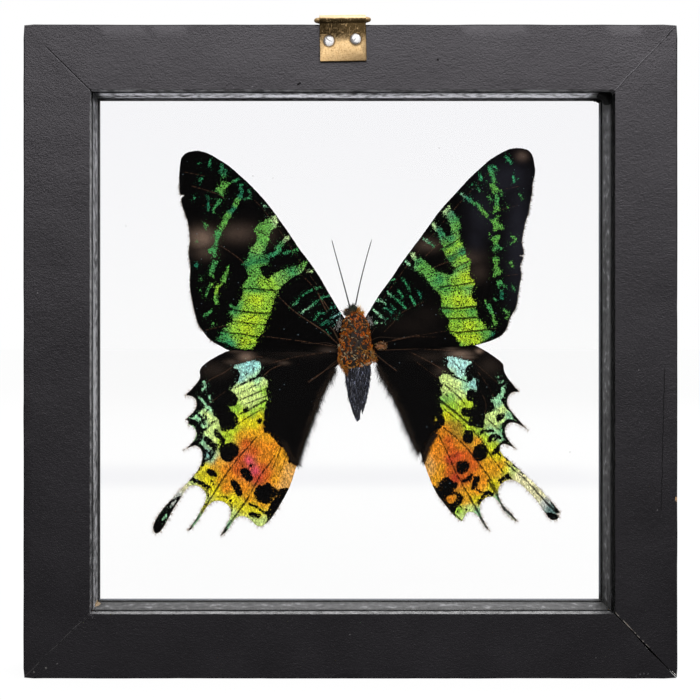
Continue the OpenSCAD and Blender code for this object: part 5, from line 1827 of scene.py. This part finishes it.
def make_head(fur, eye):
    """A small dark head between its eyes, a brown collar lobe on its left and an orange tuft on its right."""
    def here(px, py, forward=0.0):
        x, z = on_moth([(px, py)])[0]
        return (x, middle_of("moth_head") - forward, z)

    skull = lump("head", here(352.6, 309), 1.0, skin_finish("head_skin", (58, 58, 42), (8, 9, 7)), 3)
    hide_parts("moth_head")
    skins = {
        "collar": skin_finish("collar_skin", (44, 32, 20), (9, 7, 6)),
        "neck": skin_finish("neck_skin", (60, 34, 14), (12, 8, 5)), "eye": eye,
    }
    for name, (px, py, forward, size, skin, seed, rough) in HEAD_LUMPS.items():
        lump(name, here(px, py, forward), size, skins[skin], seed, rough)
    rng = np.random.default_rng(25)
    roots, tips, tones = [], [], []
    for px, py, size, colour, count, rise in HEAD_TUFTS:
        way = rng.normal(0, 1, (count, 3))
        way[:, 1] = -np.abs(way[:, 1])
        way = unit(way)
        at = np.array(here(px, py)) + way * size * 0.92 * (0.5 if rise else 1)
        lie = way * 0.5 + np.array([0.05, -0.1, 0.1 + rise]) + rng.normal(0, 0.4, way.shape)
        roots.append(at)
        tips.append(at + lie * rng.uniform(0.3, 0.8, (count, 1)))
        tones.append(np.array(FUR[colour][:3]) * np.exp(rng.normal(0, 0.6, (count, 1))))
    roots, tips, tones = (np.vstack(v) for v in (roots, tips, tones))
    bends = rng.normal(0, 0.08, roots.shape)
    widths = rng.uniform(0.05, 0.1, len(roots)) * MM
    strands("head_tufts", roots * MM, tips * MM, bends * MM, widths, np.minimum(tones, 0.85), fur, 3)


def eye_finish():
    """A dark green eye of fine facets."""
    f = Finish("compound_eye")
    facet, _, _, gap = f.cells(0.06)
    base = f.mix(facet, tone(12, 14, 12), tone(46, 52, 38))
    return f.surface(Base_Color=base, Roughness=0.25 + 0.1 * facet, Normal=f.bump(1 - gap, 0.01, 0.6))


def make_body():
    fur = hair_finish("body_hair", 0.55, 0.12)
    dress("moth_thorax", skin_finish("thorax_skin", (34, 20, 11), (4, 3, 3)))
    dress("moth_abdomen", skin_finish("abdomen_skin", (38, 38, 46), (10, 10, 14)))
    dress("mounting_pad", adhesive_finish())
    make_thorax_fur(fur)
    make_abdomen_fur(hair_finish("abdomen_hair", 0.45, 0.2))
    make_head(fur, eye_finish())
    make_wing_roots(fur)
    make_antennae(antenna_finish())
    make_fringes(hair_finish("fringe_hair", 0.7, 0.08))


# ---------------------------------------------------------------- stage


def set_world():
    """White to the eye and through glass. Mirrors see a bright sky and a paler far side, and a dark near side."""
    f = Finish("studio", "worlds")
    bpy.context.scene.world = f.material
    camera, glossy, through = f.rays("Camera", "Glossy", "Transmission")
    way = f.node("ShaderNodeSeparateXYZ", {}, {0: f.node("ShaderNodeTexCoord").outputs["Generated"]}).outputs
    soft = {"interpolation_type": "SMOOTHSTEP"}
    overhead = {"Value": way["Z"], "From Min": 0.1, "From Max": 0.75, "To Min": 0.012, "To Max": 1.0}
    overhead = Level(f, f.node("ShaderNodeMapRange", soft, overhead).outputs[0])
    beyond = Level(f, f.node("ShaderNodeMapRange", soft, {"Value": way["Y"], "To Max": 0.7}).outputs[0])
    lit = f.node("ShaderNodeMix", {}, {0: glossy, 2: 0.5, 3: overhead.most(beyond)}).outputs[0]
    level = f.node("ShaderNodeMix", {}, {0: camera.most(through), 2: lit, 3: 1.0}).outputs[0]
    f.output(f.shader("Background", Color=(1, 1, 1, 1), Strength=level), "World")


def floor_finish():
    """Pale, and dim in mirrors, with a slightly greyer band far behind the frame."""
    f = Finish("pale_floor")
    camera, glossy, through = f.rays("Camera", "Glossy", "Transmission")
    across, away = f.axis(0), f.axis(1)
    band = away.between(420, 500, 520, 640) * across.between(-170, -110, 120, 180)
    white = f.shader("Emission", Color=(1, 1, 1, 1), Strength=1.04)
    grey = f.shader("Emission", Color=tone(250, 250, 252), Strength=1.0)
    dim = f.shader("Emission", Color=(1, 1, 1, 1), Strength=0.1)
    shade = f.shader("BsdfDiffuse", Color=tone(246, 246, 246))
    seen = f.over(camera.most(through) * 0.6 + 0.3, shade, f.over(band, white, grey))
    return f.output(f.over(glossy, seen, dim))


def softbox(name, at, aim, size, power):
    data = bpy.data.lights.new(name, "AREA")
    data.shape = "RECTANGLE"
    data.size, data.size_y = size
    data.energy = power
    lamp = bpy.data.objects.new(name, data)
    lamp.location = at
    lamp.rotation_euler = (Vector(aim) - Vector(at)).to_track_quat("-Z", "Y").to_euler()
    bpy.context.scene.collection.objects.link(lamp)


def set_stage():
    set_world()
    bpy.ops.object.select_all(action="DESELECT")
    bpy.ops.mesh.primitive_plane_add(size=8, location=(0, 0, -0.00005))
    floor = bpy.context.object
    floor.name = "floor"
    floor.data.materials.append(floor_finish())
    softbox("key_softbox", (0.12, -0.95, 0.53), (0, 0, 0.08), (1.1, 0.45), 8.5)
    softbox("back_softbox", (0.3, 0.9, 0.8), (0, 0, 0.08), (0.9, 0.6), 5)


# ---------------------------------------------------------------- build

bpy.context.scene.view_settings.view_transform = "Standard"
set_camera()
set_stage()

make_case()
make_hanger()
make_body()
fore_finish = wing_finish("forewing_scales", 0.4, 1, 0.95, 1.0)
make_wing("left_forewing", LEFT_FOREWING, fore_finish, 3)
make_wing("right_forewing", RIGHT_FOREWING, fore_finish, 5)
left_hind_finish = wing_finish("left_hindwing_scales", math.radians(-50), 0.42, 0.42, 1.0)
make_wing("left_hindwing", LEFT_HINDWING, left_hind_finish, 7)
right_hind_finish = wing_finish("right_hindwing_scales", math.radians(42), 0.42, 0.42, 1.0)
make_wing("right_hindwing", RIGHT_HINDWING, right_hind_finish, 9)
